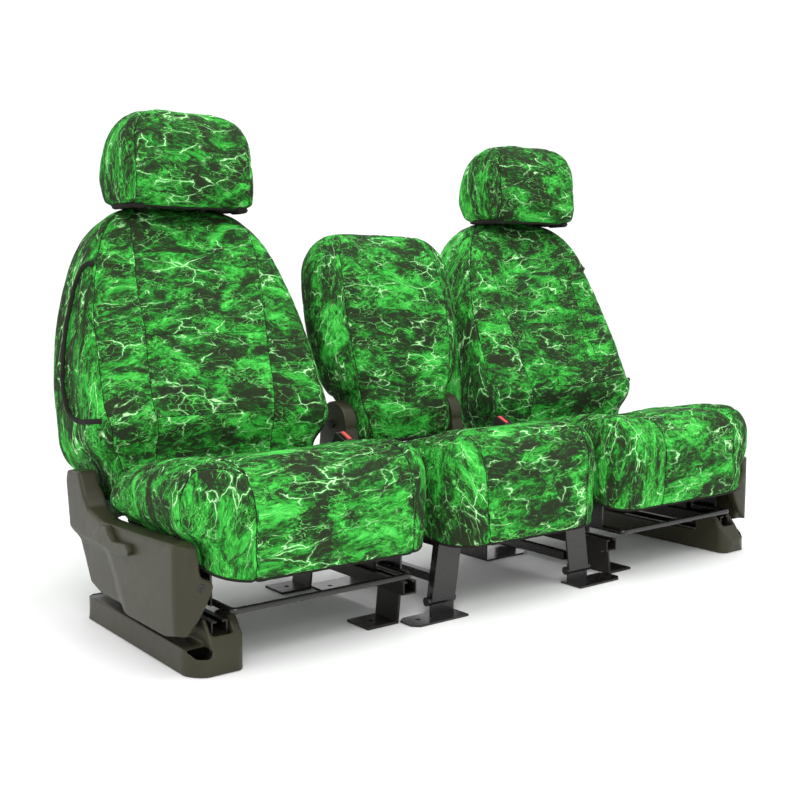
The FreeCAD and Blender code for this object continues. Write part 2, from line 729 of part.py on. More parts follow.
def make_buckle():
    strap = prism(
        "stalk_strap", "YZ_Plane", "Dims.buckle_x - 2", 4,
        [(-12, -10), (0, -14), (12, -10), (12, 90), (-12, 90)], [(0, 0, "6 + Dims.running_gap")],
    )
    outboard("buckle_stalk", buckle_placed(group("buckle_stalk", strap)))
    case = prism(
        "buckle_case", "YZ_Plane", "Dims.buckle_x - 12", 24,
        [(-18, 84), (18, 84), (23, 92), (23, 140), (19, 146), (-19, 146), (-23, 140), (-23, 92)],
    )
    tongue_slot = box("tongue_slot", "Dims.buckle_x - 8.5", -15, 118, 6, 30, 40)
    button_pocket = box("button_pocket", "Dims.buckle_x + 0.5", -16, 132, 9, 32, 20)
    stalk_pocket = box("stalk_pocket", "Dims.buckle_x - 2", -12, 80, 4, 24, 10)
    body = cut_all("buckle_body", case, tongue_slot, button_pocket, stalk_pocket)
    outboard("buckle", buckle_placed(group("buckle", body)))
    key = box("button_key", "Dims.buckle_x + 0.8", -15.7, 137.5, 8.4, 31.4, 10)
    outboard("buckle_button", buckle_placed(group("buckle_button", key)))


# ---------------------------------------------------------------- middle seat


def make_center_legs():
    bolt_hole = cylinder(
        "front_foot_hole", "Z", "Dims.center_bolt_x", "-Dims.center_bolt_y", -5, "Dims.floor_bolt_r", 20
    )
    leg = prism(
        "front_leg_plate", "XZ_Plane", -150, "Dims.sheet_steel",
        [(148, 150), (208, 150), (226, 30), (166, 30)],
    )
    flange = prism(
        "front_leg_flange", "XZ_Plane", -146, 14,
        [(204, 150), (208, 150), (226, 30), (222, 30)],
    )
    tongue = box("front_foot_tongue", 166, -146, 0, 60, "Dims.sheet_steel", 46)
    knee = cylinder("front_knee", "X", 162, -140, 30, 9, 72)
    sole = prism(
        "front_foot_sole", "XY_Plane", 0, "Dims.sheet_steel",
        [(162, -188), (284, -188), (298, -174), (298, -140), (284, -128), (162, -128)],
    )
    front = cut("front_leg", fuse("front_leg_joined", leg, flange, tongue, knee, sole), bolt_hole)
    node("center_front_legs", pair("center_front_legs", front))

    rear_hole = cylinder("rear_foot_hole", "Z", "Dims.center_bolt_x", "Dims.center_bolt_y", -5, "Dims.floor_bolt_r", 20)
    rear_sole = prism(
        "rear_foot_sole", "XY_Plane", 0, "Dims.sheet_steel",
        [(162, 115), (282, 115), (298, 130), (298, 180), (282, 195), (162, 195)],
    )
    riser = box("rear_leg_riser", 162, 120, 0, "Dims.sheet_steel", 100, 150)
    rear = cut("rear_leg", fuse("rear_leg_joined", rear_sole, riser), rear_hole)
    node("center_rear_legs", pair("center_rear_legs", rear))

    bar = box("side_bar", 166, -131, 52, 16, 300, 18)
    node("center_side_bars", pair("center_side_bars", bar))


def make_center_cushion_frame():
    pan = box("center_pan", -186, -150, 150, 372, 320, 3)
    parts = [pan]
    for side_name, x in (("left", -162), ("right", 158)):
        parts.append(box(f"center_sill_{side_name}", x, -100, 122, 4, 330, 28))
    parts.append(box("center_front_lip", -146, -150, 142, 292, 4, 8))
    node("center_cushion_frame", fuse("center_cushion_frame", *parts))


CENTER_CUSHION_SECTIONS = [
    (-210, 186, 158, 322, 34),
    (-204, 204, 146, 346, 40),
    (-186, 210, 144, 356, 44),
    (-160, 212, 146, 362, 46),
    (-20, 213, 156, 336, 46),
    (120, 213, 164, 302, 40),
    (175, 206, 170, 282, 38),
]


def make_center_cushion():
    outer = upholstery("center_cushion_outer", "XZ_Plane", CENTER_CUSHION_SECTIONS, flat_low=True)
    open_bottom = [(y, half, 120, high, radius) for y, half, low, high, radius in CENTER_CUSHION_SECTIONS]
    room = upholstery("center_cushion_room", "XZ_Plane", open_bottom, "Dims.cloth", flat_low=True)
    node("center_cushion_cover", cut("center_cushion_cover", outer, room))
    flat_bottom = [
        (y, half, max(low + 3, 153.5), high, radius) for y, half, low, high, radius in CENTER_CUSHION_SECTIONS[1:]
    ]
    inset = "Dims.cloth + Dims.pad_gap"
    pad = upholstery("center_cushion_pad", "XZ_Plane", flat_bottom, inset, flat_low=True)
    node("center_cushion_pad", pad)


def round_top_plate(name, start, depth, radius, outline):
    """A plate in the YZ plane whose top is round about the fold axis."""
    plate = prism(name + "_plate", "YZ_Plane", start, depth, outline)
    top = cylinder(name + "_round", "X", start, "Dims.fold_y", "Dims.fold_z", radius, depth)
    return fuse(name, plate, top)


def make_center_brackets():
    bracket = round_top_plate(
        "bracket_steel", 158, "Dims.sheet_steel", 30,
        [(220, 150), (310, 150), ("Dims.fold_y + 30", "Dims.fold_z"), ("Dims.fold_y - 30", "Dims.fold_z")],
    )
    bore = cylinder("bracket_bore", "X", 150, "Dims.fold_y", "Dims.fold_z", "Dims.fold_pin_r + 0.05", 20)
    node("center_back_brackets", pair("center_back_brackets", cut("bracket_drilled", bracket, bore)))

    top_r = "Dims.bracket_top_r"
    outer = round_top_plate(
        "bracket_cover_outer", 140, 35, top_r,
        [
            (198, 236), (340, 236), (f"Dims.fold_y + {top_r}", "Dims.fold_z"),
            (f"Dims.fold_y - {top_r}", "Dims.fold_z"),
        ],
    )
    inner_r = "Dims.bracket_top_r - Dims.wall"
    room = round_top_plate(
        "bracket_cover_room", "140 + Dims.wall", "35 - 2 * Dims.wall", inner_r,
        [
            (201, 230), (337, 230), (f"Dims.fold_y + {inner_r}", "Dims.fold_z"),
            (f"Dims.fold_y - {inner_r}", "Dims.fold_z"),
        ],
    )
    hole = cylinder("bracket_cover_hole", "X", 130, "Dims.fold_y", "Dims.fold_z", "Dims.fold_pin_r + 0.1", 60)
    node("center_bracket_covers", pair("center_bracket_covers", cut_all("bracket_cover", outer, room, hole)))

    head = cylinder("pivot_head", "X", 175, "Dims.fold_y", "Dims.fold_z", 10, 5)
    shank = cylinder("pivot_shank", "X", 102, "Dims.fold_y", "Dims.fold_z", "Dims.fold_pin_r", 73)
    node("center_pivot_bolts", pair("center_pivot_bolts", fuse("pivot_bolt", head, shank)))


CENTER_BACK_SECTIONS = [
    (-52, 114, -50, 38, 24),
    (-30, 132, -63, 51, 30),
    (0, 136, -66, 56, 32),
    (58, 136, -68, 58, 32),
    (80, 158, -70, 60, 40),
    (110, 172, -74, 62, 42),
    (170, 187, -76, 62, 45),
    (290, 199, -72, 58, 48),
    (360, 196, -64, 50, 46),
    (405, 176, -50, 40, 40),
    (430, 146, -34, 26, 28),
    (440, 116, -16, 12, 13),
]


def fold_placed(shape):
    return tilted(shape, "Dims.fold_y", "Dims.fold_z", "Dims.center_tilt")


def make_center_back():
    pin_hole = cylinder("center_back_pin_hole", "X", -300, 0, 0, "Dims.fold_pin_r + 1", 600)
    outer = upholstery("center_back_outer", "XY_Plane", CENTER_BACK_SECTIONS)
    room = upholstery("center_back_room", "XY_Plane", CENTER_BACK_SECTIONS, "Dims.cloth", open_end=20)
    cover = cut_all("center_back_cover", outer, room, pin_hole)
    foam = upholstery("center_back_foam", "XY_Plane", CENTER_BACK_SECTIONS, "Dims.cloth + Dims.pad_gap")
    cavity = box("center_back_cavity", -122, -26, -80, 244, 52, 440)
    pad = cut_all("center_back_pad", foam, cavity, pin_hole)
    node("center_back_cover", fold_placed(group("center_back_cover", cover)))
    node("center_back_pad", fold_placed(group("center_back_pad", pad)))

    parts = []
    for side_name, sign in (("left", -1), ("right", 1)):
        parts.append(cylinder(f"center_upright_{side_name}", "Z", f"{sign} * 106", 0, -20, 10, 356))
        parts.append(box(f"center_bush_{side_name}", f"{sign} * 110 - 8", -16, -24, 16, 32, 60))
    parts.append(cylinder("center_top_tube", "X", -106, 0, 336, 10, 212))
    parts.append(cylinder("center_low_tube", "X", -106, 0, 50, 10, 212))
    parts.append(box("center_back_sheet", -104, -1, 52, 208, 2, 282))
    bore = cylinder("center_frame_bore", "X", -300, 0, 0, "Dims.fold_pin_r + Dims.running_gap", 600)
    frame = cut("center_back_frame", fuse("center_back_frame_solid", *parts), bore)
    node("center_back_frame", fold_placed(group("center_back_frame", frame)))


def make_side_tag(back_form):
    """Small blank tag caught in the outboard side seam of the driver's back cover."""
    tag = cut("side_tag", box("side_tag_strip", 200, -20, 470, 38, 1.5, 26), back_form)
    placed = back_placed(group("side_tag_tilted", tag))
    at_seat = group("side_tag_at_seat", placed)
    place(at_seat, "Dims.seat_spacing", 0, 0)
    node("driver_side_tag", at_seat)


make_floor_rails()
make_upper_rails()
make_foot_cover()
make_cushion_frame()
make_recliners()
make_adjuster_bar()
make_side_shield()
make_recline_lever()
make_cushion()
back_form = make_backrest()
make_back_frame()
make_headrest(make_headrest_posts())
make_buckle()
make_center_legs()
make_center_cushion_frame()
make_center_cushion()
make_center_brackets()
make_center_back()
make_side_tag(back_form)

doc.recompute()

# ---------------------------------------------------------------- checks and export

for obj in doc.Objects:
    if "Invalid" in obj.State or "Error" in obj.State:
        raise RuntimeError(f"{obj.Name} ({obj.Label}) failed to recompute: {obj.State}")

os.makedirs("parts", exist_ok=True)
for name, obj in NODES:
    shape = obj.Shape
    if shape.isNull() or not shape.isValid() or not shape.Solids:
        raise RuntimeError(f"{name} is not a valid solid")

for name, obj in NODES:
    obj.Shape.exportStep(os.path.join("parts", name + ".step"))
    box_mm = obj.Shape.BoundBox
    print(f"{name}: {len(obj.Shape.Solids)} solids, {box_mm.XMin:.1f}..{box_mm.XMax:.1f} x "
          f"{box_mm.YMin:.1f}..{box_mm.YMax:.1f} x {box_mm.ZMin:.1f}..{box_mm.ZMax:.1f}")
print(len(NODES), "nodes")
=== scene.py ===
import json
import math

import bpy
import numpy as np
from mathutils import Matrix, Vector, noise
from mathutils.bvhtree import BVHTree
from mathutils.kdtree import KDTree


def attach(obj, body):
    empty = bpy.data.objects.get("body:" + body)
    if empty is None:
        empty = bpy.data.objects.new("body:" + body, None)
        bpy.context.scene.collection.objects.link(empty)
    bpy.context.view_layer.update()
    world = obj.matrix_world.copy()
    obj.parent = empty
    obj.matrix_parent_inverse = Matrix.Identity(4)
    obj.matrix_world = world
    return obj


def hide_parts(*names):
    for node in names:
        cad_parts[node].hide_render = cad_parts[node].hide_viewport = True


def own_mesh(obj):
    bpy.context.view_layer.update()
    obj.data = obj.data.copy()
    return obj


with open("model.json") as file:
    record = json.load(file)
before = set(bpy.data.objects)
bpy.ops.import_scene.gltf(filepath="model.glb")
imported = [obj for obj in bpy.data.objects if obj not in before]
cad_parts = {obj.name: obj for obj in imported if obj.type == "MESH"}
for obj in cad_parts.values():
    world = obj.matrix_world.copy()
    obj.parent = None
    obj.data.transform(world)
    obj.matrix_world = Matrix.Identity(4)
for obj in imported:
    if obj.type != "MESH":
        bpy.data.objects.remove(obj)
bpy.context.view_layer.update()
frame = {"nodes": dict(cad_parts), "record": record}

MM = 0.001
SEAT_X = 0.498  # middle of an outboard seat from the middle of the row
SIDES = {"passenger": -1, "driver": 1}

# ---------------------------------------------------------------- node graphs


class Graph:
    """One material's node tree around a Principled shader."""

    def __init__(self, name):
        self.material = bpy.data.materials.new(name)
        self.material.use_nodes = True
        self.tree = self.material.node_tree
        self.tree.nodes.clear()
        self.shader = self.add("ShaderNodeBsdfPrincipled")
        output = self.add("ShaderNodeOutputMaterial")
        self.link(self.shader.outputs["BSDF"], output.inputs["Surface"])

    def add(self, kind, **settings):
        made = self.tree.nodes.new(kind)
        for key, value in settings.items():
            setattr(made, key, value)
        return made

    def link(self, source, target):
        self.tree.links.new(source, target)

    def feed(self, socket, value):
        if isinstance(value, bpy.types.NodeSocket):
            self.link(value, socket)
        else:
            socket.default_value = value

    def math(self, operation, first, second=0.0):
        made = self.add("ShaderNodeMath", operation=operation)
        self.feed(made.inputs[0], first)
        self.feed(made.inputs[1], second)
        return made.outputs[0]

    def vector(self, operation, first, second):
        made = self.add("ShaderNodeVectorMath", operation=operation)
        self.feed(made.inputs[0], first)
        self.feed(made.inputs[1], second)
        return made.outputs[0]

    def noise(self, vector, scale, detail=4.0, roughness=0.5, distortion=0.0, output="Fac"):
        made = self.add("ShaderNodeTexNoise")
        self.link(vector, made.inputs["Vector"])
        made.inputs["Scale"].default_value = scale
        made.inputs["Detail"].default_value = detail
        made.inputs["Roughness"].default_value = roughness
        made.inputs["Distortion"].default_value = distortion
        return made.outputs[output]

    def warped(self, vector, scale, amount, detail=3.0):
        """vector pushed about by a noise of the given scale, by up to about half of amount."""
        cloud = self.noise(vector, scale, detail, output="Color")
        centred = self.vector("SUBTRACT", cloud, (0.5, 0.5, 0.5))
        push = self.vector("MULTIPLY", centred, (amount, amount, amount))
        return self.vector("ADD", vector, push)

    def cells(self, vector, scale):
        made = self.add("ShaderNodeTexVoronoi", feature="DISTANCE_TO_EDGE")
        self.link(vector, made.inputs["Vector"])
        made.inputs["Scale"].default_value = scale
        return made.outputs["Distance"]

    def span(self, value, low, high, start=0.0, end=1.0):
        """value mapped from low..high to start..end, smoothly and clamped."""
        made = self.add("ShaderNodeMapRange", interpolation_type="SMOOTHSTEP")
        self.link(value, made.inputs["Value"])
        for key, number in (("From Min", low), ("From Max", high), ("To Min", start), ("To Max", end)):
            made.inputs[key].default_value = number
        return made.outputs["Result"]

    def ramp(self, value, stops):
        made = self.add("ShaderNodeValToRGB")
        self.link(value, made.inputs["Fac"])
        elements = made.color_ramp.elements
        while len(elements) < len(stops):
            elements.new(0.5)
        for element, (place, colour) in zip(elements, stops):
            element.position = place
            element.color = (*colour, 1.0)
        return made.outputs["Color"]

    def blend(self, factor, first, second):
        made = self.add("ShaderNodeMix", data_type="RGBA")
        self.feed(made.inputs["Factor"], factor)
        for socket, value in ((made.inputs[6], first), (made.inputs[7], second)):
            if isinstance(value, bpy.types.NodeSocket):
                self.link(value, socket)
            else:
                socket.default_value = (*value, 1.0)
        return made.outputs[2]

    def bump(self, height, strength, distance, after=None):
        made = self.add("ShaderNodeBump")
        made.inputs["Strength"].default_value = strength
        made.inputs["Distance"].default_value = distance
        self.link(height, made.inputs["Height"])
        if after is not None:
            self.link(after, made.inputs["Normal"])
        return made.outputs["Normal"]

    def finish(self, colour, roughness, normal=None, **uniform):
        self.feed(self.shader.inputs["Base Color"], colour)
        self.feed(self.shader.inputs["Roughness"], roughness)
        if normal is not None:
            self.link(normal, self.shader.inputs["Normal"])
        for key, value in uniform.items():
            self.shader.inputs[key.replace("_", " ")].default_value = value
        return self.material


def printed_fabric():
    """Stretch fabric printed with a water-like green camouflage: dark pools, streaks and thin light veins."""
    g = Graph("printed_fabric")
    place = g.add("ShaderNodeAttribute", attribute_name="pattern_place").outputs["Vector"]
    flow = g.warped(place, 6.0, 0.15)
    pools = g.noise(flow, 8.0, 6.0, 0.6, 0.8)
    streaks = g.noise(g.warped(flow, 18.0, 0.05), 30.0, 9.0, 0.74, 1.4)
    mottle = g.noise(flow, 110.0, 5.0, 0.72)
    tone = g.math("ADD", g.math("MULTIPLY", pools, 0.46), g.math("MULTIPLY", streaks, 0.38))
    tone = g.math("ADD", tone, g.math("MULTIPLY", mottle, 0.16))
    dark, olive = (0.018, 0.027, 0.012), (0.015, 0.058, 0.012)
    leaf, bright, light = (0.020, 0.215, 0.022), (0.050, 0.500, 0.058), (0.170, 0.780, 0.170)
    base = g.ramp(tone, [(0.455, dark), (0.492, olive), (0.53, leaf), (0.59, bright), (0.67, light)])
    vein_place = g.warped(g.warped(place, 8.0, 0.09), 34.0, 0.030)
    net = g.cells(vein_place, 12.0)
    fine_net = g.cells(g.warped(vein_place, 26.0, 0.045), 33.0)
    patches = g.span(g.noise(place, 10.0, 3.0, 0.6), 0.47, 0.62)
    fine_patches = g.span(g.noise(place, 15.0, 2.0, 0.5, 0.5), 0.47, 0.60)
    wide = g.math("MULTIPLY", g.span(net, 0.0, 0.09, 1.0, 0.0), patches)
    line = g.math("MULTIPLY", g.span(net, 0.003, 0.022, 1.0, 0.0), patches)
    thin = g.math("MULTIPLY", g.span(fine_net, 0.004, 0.040, 0.8, 0.0), fine_patches)
    swirl = g.noise(g.warped(flow, 22.0, 0.06), 16.0, 5.0, 0.62, 0.8)
    contour = g.math("ABSOLUTE", g.math("SUBTRACT", swirl, 0.5))
    ripple = g.math("MULTIPLY", g.span(contour, 0.001, 0.010, 1.0, 0.0), g.span(tone, 0.46, 0.56))
    glow = g.blend(g.math("MULTIPLY", wide, 0.34), base, bright)
    glow = g.blend(g.math("MULTIPLY", ripple, 0.72), glow, (0.14, 0.74, 0.12))
    thread = g.blend(g.math("MULTIPLY", thin, 0.74), glow, (0.20, 0.86, 0.17))
    colour = g.blend(g.math("MULTIPLY", line, 0.88), thread, (0.60, 1.0, 0.52))
    knit = g.noise(g.add("ShaderNodeTexCoord").outputs["Object"], 900.0, 2.0, 0.6)
    normal = g.bump(knit, 0.25, 0.0006)
    return g.finish(colour, g.span(knit, 0.3, 0.7, 0.74, 0.92), normal, Specular_IOR_Level=0.12)


def worn_solid(name, dark, light, roughness, grain_scale, grain_strength, **uniform):
    """A moulded or coated surface: slight tone changes, fine grain and uneven gloss."""
    g = Graph(name)
    place = g.add("ShaderNodeTexCoord").outputs["Object"]
    cloud = g.noise(place, 9.0, 5.0, 0.6)
    colour = g.ramp(cloud, [(0.35, dark), (0.65, light)])
    grain = g.noise(place, grain_scale, 3.0, 0.6)
    gloss = g.span(g.noise(place, 55.0, 4.0, 0.6), 0.3, 0.7, roughness - 0.03, roughness + 0.03)
    return g.finish(colour, gloss, g.bump(grain, grain_strength, 0.0005), **uniform)


def woven(name, dark, light, scale, roughness=0.85):
    """Plain-woven tape or binding with a fine diagonal weave."""
    g = Graph(name)
    place = g.add("ShaderNodeTexCoord").outputs["Object"]
    threads = g.add("ShaderNodeTexWave", wave_type="BANDS", bands_direction="DIAGONAL")
    g.link(place, threads.inputs["Vector"])
    threads.inputs["Scale"].default_value = scale
    threads.inputs["Distortion"].default_value = 1.5
    fuzz = g.noise(place, 500.0, 3.0, 0.6)
    height = g.math("ADD", threads.outputs["Fac"], fuzz)
    colour = g.ramp(g.math("MULTIPLY", height, 0.5), [(0.3, dark), (0.8, light)])
    return g.finish(colour, roughness, g.bump(height, 0.4, 0.0005), Specular_IOR_Level=0.2)


def brushed(name, dark, light, roughness):
    g = Graph(name)
    place = g.add("ShaderNodeTexCoord").outputs["Object"]
    stretched = g.vector("MULTIPLY", place, (60.0, 4.0, 60.0))
    lines = g.noise(stretched, 10.0, 4.0, 0.6)
    colour = g.ramp(lines, [(0.35, dark), (0.65, light)])
    gloss = g.span(lines, 0.3, 0.7, roughness - 0.08, roughness + 0.08)
    return g.finish(colour, gloss, g.bump(lines, 0.1, 0.0003), Metallic=1.0)


FABRIC = printed_fabric()
BINDING = woven("black_binding", (0.006, 0.006, 0.005), (0.026, 0.023, 0.019), 500.0)
THREAD = woven("seam_thread", (0.002, 0.006, 0.002), (0.006, 0.022, 0.006), 900.0)
LINING = woven("black_lining", (0.010, 0.010, 0.009), (0.030, 0.030, 0.026), 350.0)
FOAM = worn_solid("foam", (0.46, 0.38, 0.22), (0.62, 0.53, 0.34), 0.9, 300.0, 0.6)
TAUPE = worn_solid(
    "taupe_plastic", (0.034, 0.032, 0.018), (0.037, 0.035, 0.020), 0.38, 1500.0, 0.14, Specular_IOR_Level=0.24
)
BLACK_PLASTIC = worn_solid(
    "black_plastic", (0.010, 0.010, 0.009), (0.018, 0.018, 0.016), 0.42, 1500.0, 0.15, Specular_IOR_Level=0.45
)
RED_PLASTIC = worn_solid("red_plastic", (0.62, 0.070, 0.062), (0.74, 0.11, 0.10), 0.32, 900.0, 0.05)
BLACK_STEEL = worn_solid(
    "black_coated_steel", (0.004, 0.004, 0.004), (0.009, 0.008, 0.007), 0.28, 420.0, 0.02, Coat_Weight=0.15,
    Coat_Roughness=0.15,
)
RAIL_STEEL = worn_solid(
    "rail_steel", (0.010, 0.009, 0.008), (0.022, 0.018, 0.014), 0.36, 420.0, 0.03, Metallic=0.35,
    Specular_IOR_Level=0.4,
)
CHROME = brushed("post_chrome", (0.62, 0.62, 0.64), (0.78, 0.78, 0.80), 0.14)

SLOT_MATERIALS = {
    "print_fabric": FABRIC, "foam": FOAM, "black_webbing": LINING, "taupe_plastic": TAUPE,
    "black_plastic": BLACK_PLASTIC, "red_plastic": RED_PLASTIC, "black_steel": BLACK_STEEL,
    "rail_steel": RAIL_STEEL, "post_chrome": CHROME,
}
for part in frame["record"]["subparts"]:
    data = frame["nodes"][part["node"]].data
    data.materials.clear()
    data.materials.append(SLOT_MATERIALS[part["material_slot"]])

# ---------------------------------------------------------------- mesh helpers


def make_mesh(name, points, faces, material, smooth=True):
    mesh = bpy.data.meshes.new(name)
    mesh.from_pydata([tuple(map(float, p)) for p in points], [], [tuple(map(int, f)) for f in faces])
    mesh.materials.append(material)
    mesh.polygons.foreach_set("use_smooth", [smooth] * len(mesh.polygons))
    mesh.update()
    piece = bpy.data.objects.new(name, mesh)
    bpy.context.scene.collection.objects.link(piece)
    return piece


def flipped(faces):
    return [tuple(reversed(face)) for face in faces]


def settle(piece, body, slot_name, *nodes):
    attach(piece, body)
    if nodes:
        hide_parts(*nodes)
    return piece


def grid_faces(rows, cols, wrap):
    faces = []
    for i in range(rows - 1):
        for j in range(cols if wrap else cols - 1):
            k = (j + 1) % cols
            faces.append((i * cols + j, i * cols + k, (i + 1) * cols + k, (i + 1) * cols + j))
    return faces


def smooth_curve(xs, ys, at):
    """Monotone cubic through (xs, ys)."""
    xs, ys, at = (np.asarray(item, float) for item in (xs, ys, at))
    step = np.diff(xs)
    slope = np.diff(ys) / step
    tangent = np.zeros(len(xs))
    same = slope[:-1] * slope[1:] > 0
    w1 = 2 * step[1:] + step[:-1]
    w2 = step[1:] + 2 * step[:-1]
    before = np.where(same, slope[:-1], 1.0)
    after = np.where(same, slope[1:], 1.0)
    tangent[1:-1] = np.where(same, (w1 + w2) / (w1 / before + w2 / after), 0.0)
    tangent[0], tangent[-1] = slope[0], slope[-1]
    i = np.clip(np.searchsorted(xs, at) - 1, 0, len(step) - 1)
    t = np.clip((at - xs[i]) / step[i], 0.0, 1.0)
    h = step[i]
    return (
        (1 + 2 * t) * (1 - t) ** 2 * ys[i] + t * (1 - t) ** 2 * h * tangent[i]
        + t * t * (3 - 2 * t) * ys[i + 1] + t * t * (t - 1) * h * tangent[i + 1]
    )


def grid_normals(grid, wrap):
    """Unit normals of a grid of points (rows, cols, 3)."""
    down = np.gradient(grid, axis=0)
    if wrap:
        across = (np.roll(grid, -1, axis=1) - np.roll(grid, 1, axis=1)) / 2
    else:
        across = np.gradient(grid, axis=1)
    normal = np.cross(across, down)
    return normal / np.maximum(np.linalg.norm(normal, axis=2, keepdims=True), 1e-9)


def halves(grid, axis, wrap):
    """The grid with a smooth midpoint added between neighbours along one axis."""
    grid = np.moveaxis(grid, axis, 0)
    if wrap:
        before, here, after, later = (np.roll(grid, shift, axis=0) for shift in (1, 0, -1, -2))
        middle = (-before + 9 * here + 9 * after - later) / 16
        out = np.empty((2 * len(grid), *grid.shape[1:]))
        out[0::2], out[1::2] = grid, middle
    else:
        here, after = grid[:-1], grid[1:]
        before = np.concatenate([2 * grid[:1] - grid[1:2], grid[:-2]])
        later = np.concatenate([grid[2:], 2 * grid[-1:] - grid[-2:-1]])
        middle = (-before + 9 * here + 9 * after - later) / 16
        out = np.empty((2 * len(grid) - 1, *grid.shape[1:]))
        out[0::2], out[1::2] = grid, middle
    return np.moveaxis(out, 0, axis)


def tube_mesh(points, radius, sides=8, closed=False, flat=1.0, up=(0, 0, 1)):
    """Points and faces of a tube along points. flat squashes it along its second axis."""
    points = np.asarray(points, float)
    count = len(points)
    if closed:
        ahead = np.roll(points, -1, axis=0) - np.roll(points, 1, axis=0)
    else:
        ahead = np.gradient(points, axis=0)
    ahead /= np.maximum(np.linalg.norm(ahead, axis=1, keepdims=True), 1e-9)
    side = np.cross(ahead, np.asarray(up, float))
    side /= np.maximum(np.linalg.norm(side, axis=1, keepdims=True), 1e-6)
    over = np.cross(side, ahead)
    angles = np.arange(sides) * 2 * math.pi / sides
    rings = (
        points[:, None, :]
        + radius * np.cos(angles)[None, :, None] * side[:, None, :]
        + radius * flat * np.sin(angles)[None, :, None] * over[:, None, :]
    )
    faces = grid_faces(count, sides, True)
    if closed:
        last = (count - 1) * sides
        faces += [(last + j, last + (j + 1) % sides, (j + 1) % sides, j) for j in range(sides)]
    else:
        faces.append(tuple(range(sides - 1, -1, -1)))
        faces.append(tuple((count - 1) * sides + j for j in range(sides)))
    return rings.reshape(-1, 3), faces


def joined(meshes):
    """Several (points, faces) as one."""
    all_points, all_faces, base = [], [], 0
    for points, faces in meshes:
        all_points.append(np.asarray(points, float))
        all_faces += [tuple(index + base for index in face) for face in faces]
        base += len(points)
    return np.concatenate(all_points), all_faces


def resample(points, spacing, closed=False):
    points = np.asarray(points, float)
    if closed:
        points = np.concatenate([points, points[:1]])
    length = np.concatenate([[0], np.cumsum(np.linalg.norm(np.diff(points, axis=0), axis=1))])
    count = max(3, int(round(length[-1] / spacing)) + 1)
    at = np.linspace(0, length[-1], count)
    out = np.stack([np.interp(at, length, points[:, k]) for k in range(points.shape[1])], axis=1)
    return out[:-1] if closed else out


CORNER_POINTS = 6  # on each rounded corner of a path


def rounded_path(points, radius, closed=True):
    """A polygon in the plane with its corners rounded by up to radius."""
    points = [np.asarray(p, float) for p in points]
    count = len(points)
    out = []
    for i, corner in enumerate(points):
        if not closed and i in (0, count - 1):
            out.append(corner)
            continue
        before, after = points[i - 1] - corner, points[(i + 1) % count] - corner
        reach = min(radius, 0.45 * np.linalg.norm(before), 0.45 * np.linalg.norm(after))
        first = corner + before / np.linalg.norm(before) * reach
        last = corner + after / np.linalg.norm(after) * reach
        for t in np.linspace(0, 1, CORNER_POINTS):
            out.append((1 - t) ** 2 * first + 2 * t * (1 - t) * corner + t * t * last)
    return np.array(out)


def polygon_distance(points, outline, closed=True):
    """Distance of 2-D points to a polyline."""
    points, outline = np.asarray(points, float), np.asarray(outline, float)
    ends = np.roll(outline, -1, axis=0) if closed else outline[1:]
    starts = outline if closed else outline[:-1]
    best = np.full(len(points), 1e9)
    for a, b in zip(starts, ends):
        run = b - a
        t = np.clip(((points - a) @ run) / max(run @ run, 1e-12), 0, 1)
        best = np.minimum(best, np.linalg.norm(points - (a + t[:, None] * run), axis=1))
    return best


# ---------------------------------------------------------------- cloth


CLOTH_FRAMES = 20  # how long the solver runs
CLOTH_SPARE = 0.012  # how much larger the fabric is cut than the form, as a share


def inflate(name, grid, wrap, pinned, pressure, cap):
    """Blow the fabric out between its pinned seams with the cloth solver; returns the moved grid.

    No point moves by more than cap, in metres.
    """
    rows, cols, _ = grid.shape
    start = grid.reshape(-1, 3)
    piece = make_mesh(name + "_sim", start, grid_faces(rows, cols, wrap), FABRIC)
    group = piece.vertex_groups.new(name="pinned")
    for index in np.nonzero(pinned.reshape(-1))[0]:
        group.add([int(index)], 1.0, "REPLACE")
    cloth = piece.modifiers.new("cloth", "CLOTH")
    cloth.settings.quality = 5
    cloth.settings.mass = 0.3
    cloth.settings.tension_stiffness = 18
    cloth.settings.compression_stiffness = 10
    cloth.settings.shear_stiffness = 6
    cloth.settings.bending_stiffness = 0.6
    cloth.settings.air_damping = 2.0
    cloth.settings.use_pressure = True
    cloth.settings.uniform_pressure_force = pressure
    cloth.settings.shrink_min = -CLOTH_SPARE
    cloth.settings.vertex_group_mass = "pinned"
    cloth.settings.effector_weights.gravity = 0.0
    cloth.collision_settings.use_collision = False
    cloth.point_cache.frame_start = 1
    cloth.point_cache.frame_end = CLOTH_FRAMES
    for number in range(1, CLOTH_FRAMES + 1):
        bpy.context.scene.frame_set(number)
    evaluated = piece.evaluated_get(bpy.context.evaluated_depsgraph_get())
    end = np.empty(len(start) * 3)
    evaluated.data.vertices.foreach_get("co", end)
    move = end.reshape(-1, 3) - start
    size = np.linalg.norm(move, axis=1, keepdims=True)
    move *= np.minimum(1.0, cap / np.maximum(size, 1e-9))
    bpy.data.objects.remove(piece)
    bpy.context.scene.frame_set(1)
    return (start + np.nan_to_num(move)).reshape(rows, cols, 3)


SEAM_WIDTH = 0.0036  # half width of the groove beside a seam, in metres


def seam_gap(points, paths):
    """Distance from each point to the nearest seam."""
    spots = np.concatenate([resample(path, 0.003) for path in paths])
    tree = KDTree(len(spots))
    for index, spot in enumerate(spots):
        tree.insert(spot, index)
    tree.balance()
    return np.array([tree.find(point)[2] for point in points])


